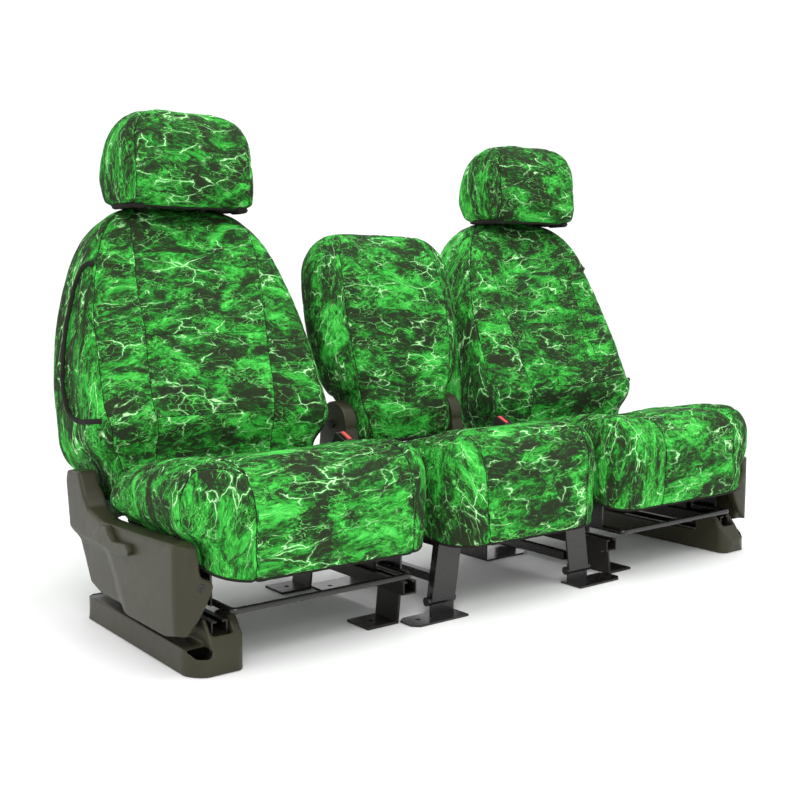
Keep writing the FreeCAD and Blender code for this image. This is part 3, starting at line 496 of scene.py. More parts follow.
def creased(grid, wrap, paths, depth, seed):
    """Pull the seams in, and pucker and ripple the fabric a little beside them."""
    rows, cols, _ = grid.shape
    normal = grid_normals(grid, wrap)
    points = grid.reshape(-1, 3)
    gap = seam_gap(points, paths).reshape(rows, cols)
    groove = np.exp(-((gap / SEAM_WIDTH) ** 2))
    near = np.exp(-gap / 0.02) * (1 - groove)
    away = Vector((seed * 3.7, seed * 1.9, seed * 5.3))
    wave, swell = np.array([
        (
            noise.noise((Vector(p) + away) * 40.0) + 0.5 * noise.noise((Vector(p) + away) * 90.0),
            noise.noise((Vector(p) + away) * 9.0),
        )
        for p in points
    ]).T.reshape(2, rows, cols)
    shift = -depth * groove + 0.0013 * wave * near + 0.0016 * swell + 0.00035 * wave
    return grid + normal * shift[:, :, None]


STREAK = 2.3  # how much finer the print is across its streaks than along them


def print_style(along, tilt, seed):
    """The turn, stretch and shift that lay the print on one panel, with its streaks along x, y or z."""
    stretch = np.full(3, STREAK)
    stretch["xyz".index(along)] = 1.0
    axis = {"x": "Y", "y": "X", "z": "Y"}[along]
    turn = np.array(Matrix.Rotation(math.radians(tilt), 3, axis))
    shift = np.array([math.sin(seed * 12.9) * 7, math.sin(seed * 78.2) * 7, math.sin(seed * 37.7) * 7])
    return np.diag(stretch) @ turn, shift


def lay_print(piece, panels, styles):
    """Store on each face corner where it lies on the printed cloth, so that the print breaks at the seams."""
    mesh = piece.data
    count = len(mesh.vertices)
    places = np.empty(count * 3)
    mesh.vertices.foreach_get("co", places)
    places = places.reshape(-1, 3)
    corner_vertex = np.empty(len(mesh.loops), int)
    mesh.loops.foreach_get("vertex_index", corner_vertex)
    corner_panel = np.repeat(panels, [len(p.vertices) for p in mesh.polygons])
    result = np.zeros((len(mesh.loops), 3))
    for panel, (matrix, shift) in styles.items():
        chosen = corner_panel == panel
        result[chosen] = places[corner_vertex[chosen]] @ matrix.T + shift
    attribute = mesh.attributes.new("pattern_place", "FLOAT_VECTOR", "CORNER")
    attribute.data.foreach_set("vector", result.reshape(-1))


# ---------------------------------------------------------------- stacked forms: backrests and headrests


def perimeter(half, low, high, radius, dish):
    """A rounded rectangle from the middle of its rear side, towards +x and round the front."""
    radius = min(radius, 0.98 * half, 0.49 * (high - low))
    arc = np.linspace(0, math.pi / 2, 14)[1:-1]
    runs = [
        ((0.0, high), (half - radius, high)), ((half, high - radius), (half, low + radius)),
        ((half - radius, low), (-half + radius, low)), ((-half, low + radius), (-half, high - radius)),
        ((-half + radius, high), (0.0, high)),
    ]
    centres = [
        (half - radius, high - radius, math.pi / 2), (half - radius, low + radius, 0.0),
        (-half + radius, low + radius, -math.pi / 2), (-half + radius, high - radius, -math.pi),
    ]
    out = []
    for index, (first, last) in enumerate(runs):
        steps = np.linspace(0, 1, 40)[:, None]
        out.append(np.array(first) + steps * (np.array(last) - np.array(first)))
        if index < 4:
            cx, cy, begin = centres[index]
            angle = begin - arc
            out.append(np.stack([cx + radius * np.cos(angle), cy + radius * np.sin(angle)], axis=1))
    points = np.concatenate(out)
    front = points[:, 1] < (low + high) / 2
    x = np.abs(points[:, 0])
    hollow = np.clip((0.62 * half - x) / (0.25 * half), 0, 1)
    points[:, 1] += np.where(front, dish * hollow * hollow * (3 - 2 * hollow), 0.0)
    belly = 0.018 * (1 - (x / half) ** 2) * (high - low)
    points[:, 1] += np.where(front, 0.0, 0.3 * belly)
    return points


def stack_form(table, seams, rows_at, dish=0.0, step=9.0):
    """A grid (rows, cols, 3) in mm round a form lofted along its third axis.

    table rows are (offset, half width, low, high, corner radius). seams are ("front" or "rear", x) in order
    round the form from the rear middle towards +x, each x a number or a pair of lists (offsets, x). rows_at are
    offsets that get a row of their own. Returns the grid from the top row down, the seams' columns and those rows.
    """
    table = np.array(table, float)
    run = np.concatenate([[0], np.cumsum(np.linalg.norm(np.diff(table[:, :4], axis=0), axis=1))])
    count = int(run[-1] / step)
    at = np.linspace(0, run[-1], count)
    offsets = smooth_curve(run, table[:, 0], at)
    found_rows = []
    for wanted in rows_at:
        row = int(np.argmin(np.abs(offsets - wanted)))
        share = (wanted - offsets[row]) / max(offsets[row + 1] - offsets[row], 1e-6)
        at[row] += share * (at[row + 1] - at[row])
        found_rows.append(row)
    columns = [smooth_curve(run, table[:, k], at) for k in range(5)]
    rings, breaks = [], []
    for offset, half, low, high, radius in zip(*columns):
        ring = perimeter(half, low, high, radius, dish)
        length = np.concatenate([[0], np.cumsum(np.linalg.norm(np.diff(ring, axis=0), axis=1))])
        middle = (low + high) / 2
        marks = [0.0]
        for face, x in seams:
            if not isinstance(x, (int, float)):
                x = float(np.interp(offset, x[0], x[1]))
            x = max(-0.93 * half, min(0.93 * half, x))
            if face == "front":
                chosen = ring[:, 1] < middle
            else:
                chosen = (ring[:, 1] > middle) & ((ring[:, 0] >= 0) == (x >= 0))
            gap = np.where(chosen, np.abs(ring[:, 0] - x), 1e9)
            near = int(np.argmin(gap))
            crosses = (ring[near, 0] - x) * (ring[(near + 1) % len(ring), 0] - x) < 0
            other = near + 1 if crosses else near - 1
            a, b = ring[near, 0] - x, ring[other, 0] - x
            share = a / (a - b) if abs(a - b) > 1e-9 else 0.0
            marks.append(length[near] + share * (length[other] - length[near]))
        marks.append(length[-1])
        rings.append((ring, length, offset))
        breaks.append(marks)
    breaks = np.array(breaks)
    spans = np.maximum(2, np.round(np.diff(breaks, axis=1).max(axis=0) / step)).astype(int)
    grid = []
    for (ring, length, offset), marks in zip(rings, breaks):
        where = np.concatenate([
            np.linspace(marks[k], marks[k + 1], spans[k], endpoint=False) for k in range(len(spans))
        ])
        x = np.interp(where, length, ring[:, 0])
        y = np.interp(where, length, ring[:, 1])
        grid.append(np.stack([x, y, np.full(len(x), offset)], axis=1))
    seam_columns = list(np.cumsum(spans)[:-1])
    return np.array(grid)[::-1], seam_columns, [count - 1 - row for row in found_rows]


def leaned(points, y, z, angle):
    """From a back's own axes (mm, leaning rearwards about a line at y, z) to the row frame in metres."""
    points = np.asarray(points, float)
    c, s = math.cos(math.radians(angle)), math.sin(math.radians(angle))
    out = np.empty_like(points)
    out[..., 0] = points[..., 0]
    out[..., 1] = y + points[..., 1] * c + points[..., 2] * s
    out[..., 2] = z + points[..., 2] * c - points[..., 1] * s
    return out * MM


def capped(grid, before, after):
    """The grid with shrunken rings, each (scale, rise), added before its first row and after its last."""
    def shrunk(ring, scale, rise):
        middle = (ring.min(axis=0) + ring.max(axis=0)) / 2
        out = middle + (ring - middle) * scale
        out[:, 2] = ring[:, 2] + rise
        return out
    head = [shrunk(grid[0], *item) for item in before]
    tail = [shrunk(grid[-1], *item) for item in after]
    return np.concatenate([np.array(head).reshape(-1, *grid.shape[1:]), grid, np.array(tail)])


def at_seat(points, side):
    """From passenger-sense metres about an outboard seat's middle to the row frame."""
    out = np.array(points, float)
    if side == "driver":
        out[..., 0] = SEAT_X - out[..., 0]
    elif side == "passenger":
        out[..., 0] -= SEAT_X
    return out


def sided_mesh(name, points, faces, side, material):
    """A piece from passenger-sense metres. The driver's is a mirror image, so its faces are turned round."""
    return make_mesh(name, at_seat(points, side), flipped(faces) if side == "driver" else faces, material)


REFINED = 4  # one cell of a coarse grid is this many cells across once refined


def refined(grid):
    for _ in range(2):
        grid = halves(halves(grid, 0, False), 1, True)
    return grid


def closed_faces(rows, cols):
    faces = grid_faces(rows, cols, True)
    faces.append(tuple(range(cols - 1, -1, -1)))
    faces.append(tuple((rows - 1) * cols + j for j in range(cols)))
    return faces


def cover_piece(name, grid, side, panels, styles):
    """A closed cover from a grid in seat metres, printed panel by panel. panels is (rows - 1, cols)."""
    rows, cols, _ = grid.shape
    piece = sided_mesh(name, grid.reshape(-1, 3), closed_faces(rows, cols), side, FABRIC)
    lay_print(piece, np.concatenate([panels.reshape(-1), panels[0, :1], panels[-1, :1]]), styles)
    return piece


def tubes_piece(name, paths, radius, material, side, closed=False, flat=1.0, sides=8, up=(0, 0, 1)):
    meshes = [tube_mesh(path, radius, sides, closed, flat, up) for path in paths]
    return sided_mesh(name, *joined(meshes), side, material)


THREAD_RADIUS, THREAD_LIFT = 0.0007, 0.0002  # of the stitching in a seam, and above the fabric
BINDING_FLAT = 0.7  # how flat the tape round a hem is pressed


def trimmed(name, body, side, threads, hem, hem_radius):
    """A cover's seam threads, and the binding round its hem."""
    seams_piece = tubes_piece(name + "_seams", threads, THREAD_RADIUS, THREAD, side, sides=6)
    settle(seams_piece, body, "print_fabric")
    binding = tubes_piece(
        name + "_binding", [hem], hem_radius, BINDING, side, closed=True, flat=BINDING_FLAT
    )
    settle(binding, body, "black_webbing")


def lifted(grid, normal, selection, lift):
    return grid[selection] + normal[selection] * lift


def column_panels(rows, cols, seams, row_breaks=()):
    """Panel number of each face: 0 at the rear, then counting round; plus 10 per row break between two seams."""
    ring = np.searchsorted(seams, np.arange(cols), side="right")
    ring[ring == len(seams)] = 0
    panels = np.tile(ring, (rows - 1, 1))
    for row, inside in row_breaks:
        panels[row:, ring == inside] += 10
    return panels


def grid_tree(grid):
    rows, cols, _ = grid.shape
    return BVHTree.FromPolygons([tuple(p) for p in grid.reshape(-1, 3)], grid_faces(rows, cols, True))


def pinned_lines(grid, seams, rows_used, edge_rows):
    rows, cols, _ = grid.shape
    pinned = np.zeros((rows, cols), bool)
    for column in seams:
        pinned[:, column] = True
    for row, first, last in rows_used:
        pinned[row, first:last + 1] = True
    pinned[:edge_rows[0]] = True
    pinned[rows - edge_rows[1]:] = True
    return pinned


def stacked_cover(name, table, seams_wanted, cuts, ends, top_rows, pressure, cap, dish=0.0, step=9.0):
    """The blown and refined grid of a cover lofted up its height, with a closed top and underside.

    cuts are offsets of the seams that cross the front, ends the shrunken rings of each end, and top_rows how
    many rows at the top are pinned. Returns the grid, the seams' columns, the cuts' rows, the hem's row and, for
    each seam, the selection of its points.
    """
    grid, seams, rows_found = stack_form(table, seams_wanted, cuts, dish, step)
    before, after = ends
    grid = capped(grid, before, after) * MM
    rows_found = [row + len(before) for row in rows_found]
    crossing = [(row, seams[2], seams[3]) for row in rows_found]
    pinned = pinned_lines(grid, seams, crossing, (top_rows, len(after) + 2))
    base = refined(inflate(name, grid, True, pinned, pressure, cap))
    hem_row = len(base) - len(after) * REFINED
    fine_seams = [column * REFINED for column in seams]
    selections = [(slice(top_rows * REFINED, hem_row), column) for column in fine_seams]
    return base, fine_seams, [row * REFINED for row in rows_found], hem_row, selections


# ---------------------------------------------------------------- outboard backrests

RECLINE_Y, RECLINE_Z, BACK_TILT = 280.0, 235.0, 14.0
BACK_TABLE = [
    (-35, 198, -68, 100, 36), (22, 234, -97, 118, 42), (50, 237, -100, 125, 42), (68, 243, -105, 127, 42),
    (84, 257, -114, 129, 46), (100, 266, -124, 130, 50), (130, 273, -134, 132, 54), (222, 272, -120, 130, 58),
    (320, 262, -104, 124, 60), (422, 240, -88, 114, 58), (500, 212, -76, 104, 54), (550, 182, -62, 92, 48),
    (582, 148, -42, 74, 38), (600, 112, -16, 50, 24), (605, 70, 0, 36, 15),
]
CORNER_SEAM = ([63, 166, 248, 350, 459, 532, 575, 600], [236, 253, 247, 239, 227, 199, 165, 104])
OUTER_SEAM = ([93, 175, 243, 319, 406, 504, 564, 600], [-150, -152, -144, -135, -134, -129, -123, -84])
INNER_SEAM = ([32, 121, 201, 282, 389, 482, 560, 600], [113, 116, 130, 137, 149, 155, 152, 88])
BACK_SEAMS = [
    ("rear", 150.0), ("front", CORNER_SEAM), ("front", INNER_SEAM), ("front", OUTER_SEAM),
    ("front", (CORNER_SEAM[0], [-x for x in CORNER_SEAM[1]])), ("rear", -150.0),
]
BAG_OPENING = [
    (-130, 446), (-62, 466), (-44, 470), (-10, 440), (10, 345), (27, 252), (24, 205), (14, 176), (-34, 152),
    (-116, 141), (-150, 141),
]


def back_styles(seed):
    return {
        0: print_style("x", 4, seed), 1: print_style("z", 6, seed + 1), 2: print_style("x", -8, seed + 2),
        3: print_style("x", 5, seed + 3), 13: print_style("x", -4, seed + 4), 23: print_style("x", 7, seed + 5),
        4: print_style("x", 10, seed + 6), 5: print_style("z", -5, seed + 7),
    }


def inside_outline(points, outline):
    x, y = points[:, 0], points[:, 1]
    inside = np.zeros(len(points), bool)
    for (ax, ay), (bx, by) in zip(outline, np.roll(outline, -1, axis=0)):
        crosses = (ay > y) != (by > y)
        at = ax + (y - ay) / (by - ay if abs(by - ay) > 1e-9 else 1e-9) * (bx - ax)
        inside ^= crosses & (x < at)
    return inside


BACK_ENDS = [(0.04, 2.0), (0.5, 1.6)], [(0.93, -1.0), (0.8, 3.0), (0.4, 6.0), (0.04, 6.0)]
BACK_CUTS = [310, 138]  # heights of the two seams across the front
BAG_ROUNDING = 40.0  # of the airbag opening's corners, in mm
BAG_SINK, BAG_EDGE = 0.0045, 0.006  # how deep the fabric lies in the opening, and over what width it gets there


def outboard_backs():
    base, fine_seams, fine_cuts, low_row, columns = stacked_cover(
        "outboard_back", BACK_TABLE, BACK_SEAMS, BACK_CUTS, BACK_ENDS, 3, 3.0, 0.006, dish=8.0, step=14.8
    )
    rows, cols, _ = base.shape
    crossings = [(row, slice(fine_seams[2], fine_seams[3] + 1)) for row in fine_cuts]
    panels = column_panels(rows, cols, fine_seams, [(row, 3) for row in fine_cuts])
    outline = rounded_path(BAG_OPENING, BAG_ROUNDING) * MM
    for side in SIDES:
        seed = 3.0 if side == "passenger" else 41.0
        grid = creased(base, True, [base[item] for item in columns + crossings], 0.0026, seed)
        points = grid.reshape(-1, 3)
        place = points[:, 1:]
        gap = polygon_distance(place, outline)
        within = inside_outline(place, outline) & (points[:, 0] < -0.12)
        t = np.clip(gap / BAG_EDGE, 0, 1)
        sink = np.where(within, BAG_SINK * t * t * (3 - 2 * t), 0.0)
        grid = (points + grid_normals(grid, True).reshape(-1, 3) * -sink[:, None]).reshape(rows, cols, 3)
        normal = grid_normals(grid, True)
        threads = [lifted(grid, normal, item, THREAD_LIFT) for item in columns + crossings]
        tree = grid_tree(grid)
        loop = []
        for y, h in resample(rounded_path(BAG_OPENING[1:-1], BAG_ROUNDING, closed=False) * MM, 0.006):
            hit = tree.ray_cast(Vector((-0.5, y, h)), Vector((1, 0, 0)))
            if hit[0] is not None:
                loop.append(np.array(hit[0]) + np.array((-0.0012, 0, 0)))
        hem = resample(lifted(grid, normal, low_row, 0.0012), 0.008, closed=True)

        def lean(points):
            return leaned(np.asarray(points) / MM, RECLINE_Y, RECLINE_Z, BACK_TILT)

        body = f"{side}_back"
        cover = cover_piece(f"{side}_back_skin", lean(grid), side, panels, back_styles(seed))
        settle(cover, body, "print_fabric", f"{side}_back_cover", f"{side}_back_pad")
        piping = tubes_piece(f"{side}_back_piping", [lean(loop)], 0.0052, BINDING, side, flat=0.8, up=(1, 0, 0))
        settle(piping, body, "black_webbing")
        trimmed(f"{side}_back", body, side, [lean(path) for path in threads], lean(hem), 0.0050)


outboard_backs()

# ---------------------------------------------------------------- headrests

HEADREST_TABLE = [
    (822, 136, 322, 430, 28), (834, 150, 302, 444, 36), (880, 152, 292, 468, 44), (940, 146, 292, 460, 44),
    (990, 128, 302, 437, 42), (1014, 98, 328, 404, 34), (1018, 76, 345, 390, 20),
]


HEADREST_SEAMS = [("rear", 120.0), ("front", 132.0), ("front", -132.0), ("rear", -120.0)]
HEADREST_ENDS = [(0.04, 2.5), (0.5, 2.0)], [(0.9, -0.5), (0.75, 2.0), (0.35, 4.0), (0.04, 4.0)]


def headrests():
    base, fine_seams, _, low_row, columns = stacked_cover(
        "headrest", HEADREST_TABLE, HEADREST_SEAMS, [], HEADREST_ENDS, 2, 3.5, 0.005
    )
    rows, cols, _ = base.shape
    panels = column_panels(rows, cols, fine_seams)
    for side in SIDES:
        seed = 17.0 if side == "passenger" else 59.0
        grid = creased(base, True, [base[item] for item in columns], 0.0024, seed)
        normal = grid_normals(grid, True)
        body = f"{side}_headrest"
        styles = {
            0: print_style("x", 3, seed), 1: print_style("z", 4, seed + 1),
            2: print_style("x", -5, seed + 2), 3: print_style("z", -4, seed + 3),
        }
        cover = cover_piece(f"{side}_headrest_skin", grid, side, panels, styles)
        settle(cover, body, "print_fabric", f"{side}_headrest_cover", f"{side}_headrest_pad")
        threads = [lifted(grid, normal, item, THREAD_LIFT) for item in columns]
        hem = resample(lifted(grid, normal, low_row, 0.001), 0.006, closed=True)
        trimmed(f"{side}_headrest", body, side, threads, hem, 0.0040)
        fold_row = low_row - 2
        folds = [lifted(grid, normal, fold_row, 0.0015)[chosen] for chosen in corner_runs(grid[fold_row])]
        fold = tubes_piece(f"{side}_headrest_folds", folds, 0.0082, BINDING, side, flat=0.8)
        settle(fold, body, "black_webbing")
        settle(closure_flaps(side), body, "black_webbing", f"{side}_headrest_closure")


def corner_runs(ring):
    """Where a ring passes its two front corners, as runs of indices."""
    front = ring[:, 1] < ring[:, 1].mean() + 0.016
    return [np.nonzero(front & (sign * ring[:, 0] > 0.108))[0] for sign in (1, -1)]


def sheet_faces(rows, cols, turned=False):
    """Faces of two stacked grids walled in round their rim, and the rim.

    turned reverses the faces of the grids, but not the walls.
    """
    count = rows * cols
    skin = grid_faces(rows, cols, False)
    rim = list(range(cols)) + [i * cols + cols - 1 for i in range(1, rows)]
    rim += [(rows - 1) * cols + j for j in range(cols - 2, -1, -1)]
    rim += [i * cols for i in range(rows - 2, 0, -1)]
    walls = [(after, a, a + count, after + count) for a, after in zip(rim, rim[1:] + rim[:1])]
    lower, upper = (flipped(skin), skin) if turned else (skin, flipped(skin))
    return lower + [tuple(index + count for index in face) for face in upper] + walls, rim


def closure_flaps(side):
    """The folded black tabs that close the headrest cover under its lower corners."""
    meshes = []
    across, along = 7, 17
    u, v = np.meshgrid(np.linspace(-1, 1, across), np.linspace(0, 1, along))
    for sign in (-1, 1):
        sheets = []
        for lift in (0.0, 3.0):
            sag = -3.5 * np.sin(math.pi * v) - 1.5 * u * u
            x = sign * (102 + 15 * u * (1 - 0.35 * v))
            y = 333 + 70 * v
            z = 826 + lift * (1 - 0.3 * np.abs(u)) + sag - 4 * v
            sheets.append(np.stack([x, y, z], axis=2).reshape(-1, 3) * MM)
        faces, _ = sheet_faces(along, across, turned=True)
        meshes.append((np.concatenate(sheets), flipped(faces) if sign < 0 else faces))
    return sided_mesh(f"{side}_headrest_flaps", *joined(meshes), side, BINDING)


headrests()

# ---------------------------------------------------------------- middle backrest

FOLD_Y, FOLD_Z, FOLD_TILT = 275.0, 342.0, 12.0
CENTER_BACK_TABLE = [
    (-52, 114, -50, 38, 24), (-30, 132, -63, 51, 30), (0, 136, -66, 56, 32), (58, 136, -68, 58, 32),
    (80, 158, -70, 60, 40), (110, 172, -74, 62, 42), (170, 187, -76, 62, 45), (290, 199, -72, 58, 48),
    (360, 196, -64, 50, 46), (405, 176, -50, 40, 40), (430, 146, -34, 26, 28), (440, 116, -16, 12, 13),
    (443, 90, -8, 4, 5),
]


CENTER_BACK_LINE = ([-52, 29, 158, 274, 374, 430], [104, 124, 146, 148, 138, 112])
CENTER_BACK_SEAMS = [
    ("rear", 130.0), ("front", CENTER_BACK_LINE),
    ("front", (CENTER_BACK_LINE[0], [-x for x in CENTER_BACK_LINE[1]])), ("rear", -130.0),
]
CENTER_BACK_ENDS = [(0.04, 1.5), (0.5, 1.2)], [(0.92, -0.5), (0.75, 3.0), (0.35, 5.0), (0.04, 5.0)]


def center_back():
    base, fine_seams, _, low_row, columns = stacked_cover(
        "center_back", CENTER_BACK_TABLE, CENTER_BACK_SEAMS, [], CENTER_BACK_ENDS, 3, 3.0, 0.006,
        dish=3.0, step=10.2,
    )
    rows, cols, _ = base.shape
    grid = creased(base, True, [base[item] for item in columns], 0.0026, 71.0)
    normal = grid_normals(grid, True)

    def lean(points):
        return leaned(np.asarray(points) / MM, FOLD_Y, FOLD_Z, FOLD_TILT)

    styles = {
        0: print_style("x", 3, 72.0), 1: print_style("z", 5, 73.0),
        2: print_style("x", -3, 74.0), 3: print_style("z", -6, 75.0),
    }
    cover = cover_piece("center_back_skin", lean(grid), "center", column_panels(rows, cols, fine_seams), styles)
    settle(cover, "center_back", "print_fabric", "center_back_cover", "center_back_pad")
    threads = [lean(lifted(grid, normal, item, THREAD_LIFT)) for item in columns]
    hem = lean(resample(lifted(grid, normal, low_row, 0.001), 0.008, closed=True))
    trimmed("center_back", "center_back", "center", threads, hem, 0.0045)


center_back()

# ---------------------------------------------------------------- cushions

CUSHION_ARC = 113.0  # clearance round the recliner axis, in mm
CUSHION_ROUNDING = 60.0  # of the top edges
CUSHION_PINNED_ROWS = 7  # from the underside up
CUSHION_HEM_ROW = 4  # the last ring of the underside, just inside the walls


def plan_ring(half_at, front, rear, radius, inset):
    """A rounded rectangle in plan, counter-clockwise from the middle of its rear side."""
    samples = np.linspace(0, 1, 24)[:-1, None]
    half = float(np.interp(front + inset, *half_at)) - inset
    back = float(np.interp(rear - inset, *half_at)) - inset
    y0, y1, r = front + inset, rear - inset, max(radius - inset, 14.0)
    arc = np.linspace(0, math.pi / 2, 9)[:-1]

    def run(a, b):
        return np.array(a) + samples * (np.array(b) - np.array(a))

    def turn(cx, cy, begin):
        return np.stack([cx + r * np.cos(begin + arc), cy + r * np.sin(begin + arc)], axis=1)

    quarter = math.pi / 2
    return np.concatenate([
        run((0, y1), (-back + r, y1)), turn(-back + r, y1 - r, quarter),
        run((-back, y1 - r), (-half, y0 + r)), turn(-half + r, y0 + r, 2 * quarter),
        run((-half + r, y0), (half - r, y0)), turn(half - r, y0 + r, 3 * quarter),
        run((half, y0 + r), (back, y1 - r)), turn(back - r, y1 - r, 0.0),
        run((back - r, y1), (0, y1)),
    ])


def cushion_form(
    half_at, front, rear, radius, low_at, high_at, crown, bulge, arc_cut, overhang=0.0, bolster=0.0
):
    """Grid in mm of one cushion, from its underside up the walls to the middle of its top."""
    rows = []
    edge = CUSHION_ROUNDING

    def add(inset, height, scale=1.0):
        ring = plan_ring(half_at, front, rear, radius, inset)
        middle_y = (front + rear) / 2
        x, y = ring[:, 0] * scale, middle_y + (ring[:, 1] - middle_y) * scale
        half = max(half_at[1])
        low, high = smooth_curve(*low_at, y), smooth_curve(*high_at, y)
        low = low + 110.0 * overhang * np.clip(-x / half / 0.45 - 1.22, 0, 1) ** 2
        high = high + crown * (1 - (x / half) ** 2) - 0.25 * crown
        high = high + bolster * np.exp(-(((np.abs(x) - 0.82 * half) / 42.0) ** 2))
        z = height(low, high)
        wall = np.clip(1 - inset / edge, 0, 1) * np.clip((z - low) / 30.0, 0, 1)
        y = y - np.where(y < front + radius, bulge * wall * (1 - (x / half) ** 2), 0.0)
        x = x * (1 + 0.012 * wall * np.sin(math.pi * np.clip((z - low) / (high - low), 0, 1)))
        rise = np.clip((z - 212.0) / 48.0, 0, 1)
        fade = np.clip((215.0 - y) / 60.0, 0, 1)
        outward = np.clip(-x / half, 0, 1) ** 2 * rise * rise * (3 - 2 * rise) * fade
        x = x * (1 + overhang * outward)
        if arc_cut:
            drop = CUSHION_ARC ** 2 - (z - RECLINE_Z) ** 2
            y = np.minimum(y, RECLINE_Y - np.sqrt(np.maximum(drop, 0.0)) - 1.0)
        rows.append(np.stack([x, y, z], axis=1))

    for scale in (0.05, 0.5):
        add(40.0, lambda low, high: low + 8.0, scale)
    add(34.0, lambda low, high: low + 7.0)
    add(16.0, lambda low, high: low + 2.0)
    add(6.0, lambda low, high: low - 1.0)
    add(0.0, lambda low, high: low + 4.0)
    for share in np.linspace(0.08, 1.0, 11):
        add(0.0, lambda low, high, share=share: low + 6.0 + share * (high - edge - low - 6.0))
    for angle in np.linspace(0.2, math.pi / 2, 7):
        add(edge * (1 - math.cos(angle)), lambda low, high, angle=angle: high - edge + edge * math.sin(angle))
    for scale in np.linspace(0.95, 0.03, 19):
        add(edge, lambda low, high: high, scale)
    return np.array(rows)


def seam_lines(grid, seam_at):
    """Where the plane-like seam x = seam_at(z) runs over a ring-built grid: up the front, over the top."""
    front, rear = [], []
    for ring in grid:
        side_of = ring[:, 0] - seam_at(ring[:, 2])
        after = np.roll(side_of, -1)
        for index in np.nonzero((side_of < 0) != (after < 0))[0]:
            share = side_of[index] / (side_of[index] - after[index])
            point = ring[index] + share * (ring[(index + 1) % len(ring)] - ring[index])
            (front if after[index] > 0 else rear).append(point)
    return np.array(front + rear[::-1])


CORNER_SEAMS = [
    [(-0.168, -0.186, 0.350), (-0.205, -0.180, 0.354), (-0.245, -0.150, 0.352)],
    [
        (-0.245, -0.150, 0.352), (-0.268, -0.150, 0.320), (-0.275, -0.150, 0.275), (-0.262, -0.156, 0.225),
        (-0.250, -0.160, 0.176),
    ],
]


def snapped(tree, path, lift=0.0):
    """A path moved onto a surface, and lift above it."""
    spots = []
    for point in resample(path, 0.004):
        place, direction, _, _ = tree.find_nearest(Vector(point))
        spots.append(np.array(place) + np.array(direction) * lift)
    return np.array(spots)


def cushion(name, side, body, nodes, shape, seam_fits, seed, corner=()):
    form = cushion_form(*shape) * MM
    lines = [lambda z, fit=fit: np.interp(z, fit[0], fit[1]) for fit in seam_fits]
    pinned = np.zeros(form.shape[:2], bool)
    pinned[:CUSHION_PINNED_ROWS] = True
    pinned[-2:] = True
    pinned |= form[:, :, 1] > 0.13
    for line in lines:
        pinned |= np.abs(form[:, :, 0] - line(form[:, :, 2])) < 0.006
    base = refined(inflate(name, form, True, pinned, pressure=4.0, cap=0.006))
    rows, cols, _ = base.shape
    hem_row = CUSHION_HEM_ROW * REFINED
    upper = base[hem_row:]
    paths = [seam_lines(upper, line) for line in lines]
    tree = grid_tree(base)
    paths += [snapped(tree, np.array(path)) for path in corner]
    grid = creased(base, True, paths, 0.0030, seed)
    normal = grid_normals(grid, True)
    middle = (grid[:-1] + grid[1:]) / 2
    panels = np.zeros((rows - 1, cols), int)
    for line in lines:
        panels += middle[:, :, 0] > line(middle[:, :, 2])
    if corner:
        panels[(panels == 0) & (middle[:, :, 1] < -0.152) & (middle[:, :, 2] < 0.352)] = 3
    styles = {
        0: print_style("z", 24, seed), 1: print_style("x", 4, seed + 1),
        2: print_style("z", -7, seed + 2), 3: print_style("z", -6, seed + 3),
    }
    cover = cover_piece(name + "_skin", grid, side, panels, styles)
    settle(cover, body, "print_fabric", *nodes)
    tree = grid_tree(grid)
    threads = [snapped(tree, path, THREAD_LIFT) for path in paths]
    hem = resample(lifted(grid, normal, hem_row, 0.001), 0.008, closed=True)
    trimmed(name, body, side, threads, hem, 0.0045)


OUTBOARD_SHAPE = (
    ([-212, -186, -170, 10, 205], [240, 244, 245, 246, 239]), -211.0, 205.0, 78.0,
    ([-212, -186, -150, -100, 0, 205], [159, 161, 170, 187, 198, 202]),
    ([-212, -170, -120, 10, 150, 205], [344, 350, 351, 334, 308, 298]), 2.0, 6.0, True, 0.14, 12.0,
)
CENTER_SHAPE = (
    ([-212, -186, -160, -20, 120, 175], [206, 211, 213, 214, 214, 207]), -211.0, 178.0, 66.0,
    ([-212, -186, -150, -60, 120, 178], [145, 146, 148, 156, 164, 170]),
    ([-212, -165, -100, -20, 120, 178], [354, 362, 357, 336, 302, 284]), 0.0, 6.0, False,
)
CUSHION_SEAMS = {
    "passenger": [([0.16, 0.35], [-0.162, -0.169]), ([0.16, 0.35], [0.180, 0.173])],
    "driver": [([0.16, 0.35], [-0.158, -0.165]), ([0.16, 0.35], [0.094, 0.090])],
    "center": [([0.15, 0.35], [-0.126, -0.148]), ([0.15, 0.35], [0.150, 0.158])],
}
for side_name in SIDES:
    cushion(
        f"{side_name}_cushion", side_name, f"{side_name}_seat",
        [f"{side_name}_cushion_cover", f"{side_name}_cushion_pad"], OUTBOARD_SHAPE, CUSHION_SEAMS[side_name],
        23.0 if side_name == "passenger" else 89.0, CORNER_SEAMS,
    )
cushion(
    "center_cushion", "center", "floor_frame", ["center_cushion_cover", "center_cushion_pad"], CENTER_SHAPE,
    CUSHION_SEAMS["center"], 101.0,
)


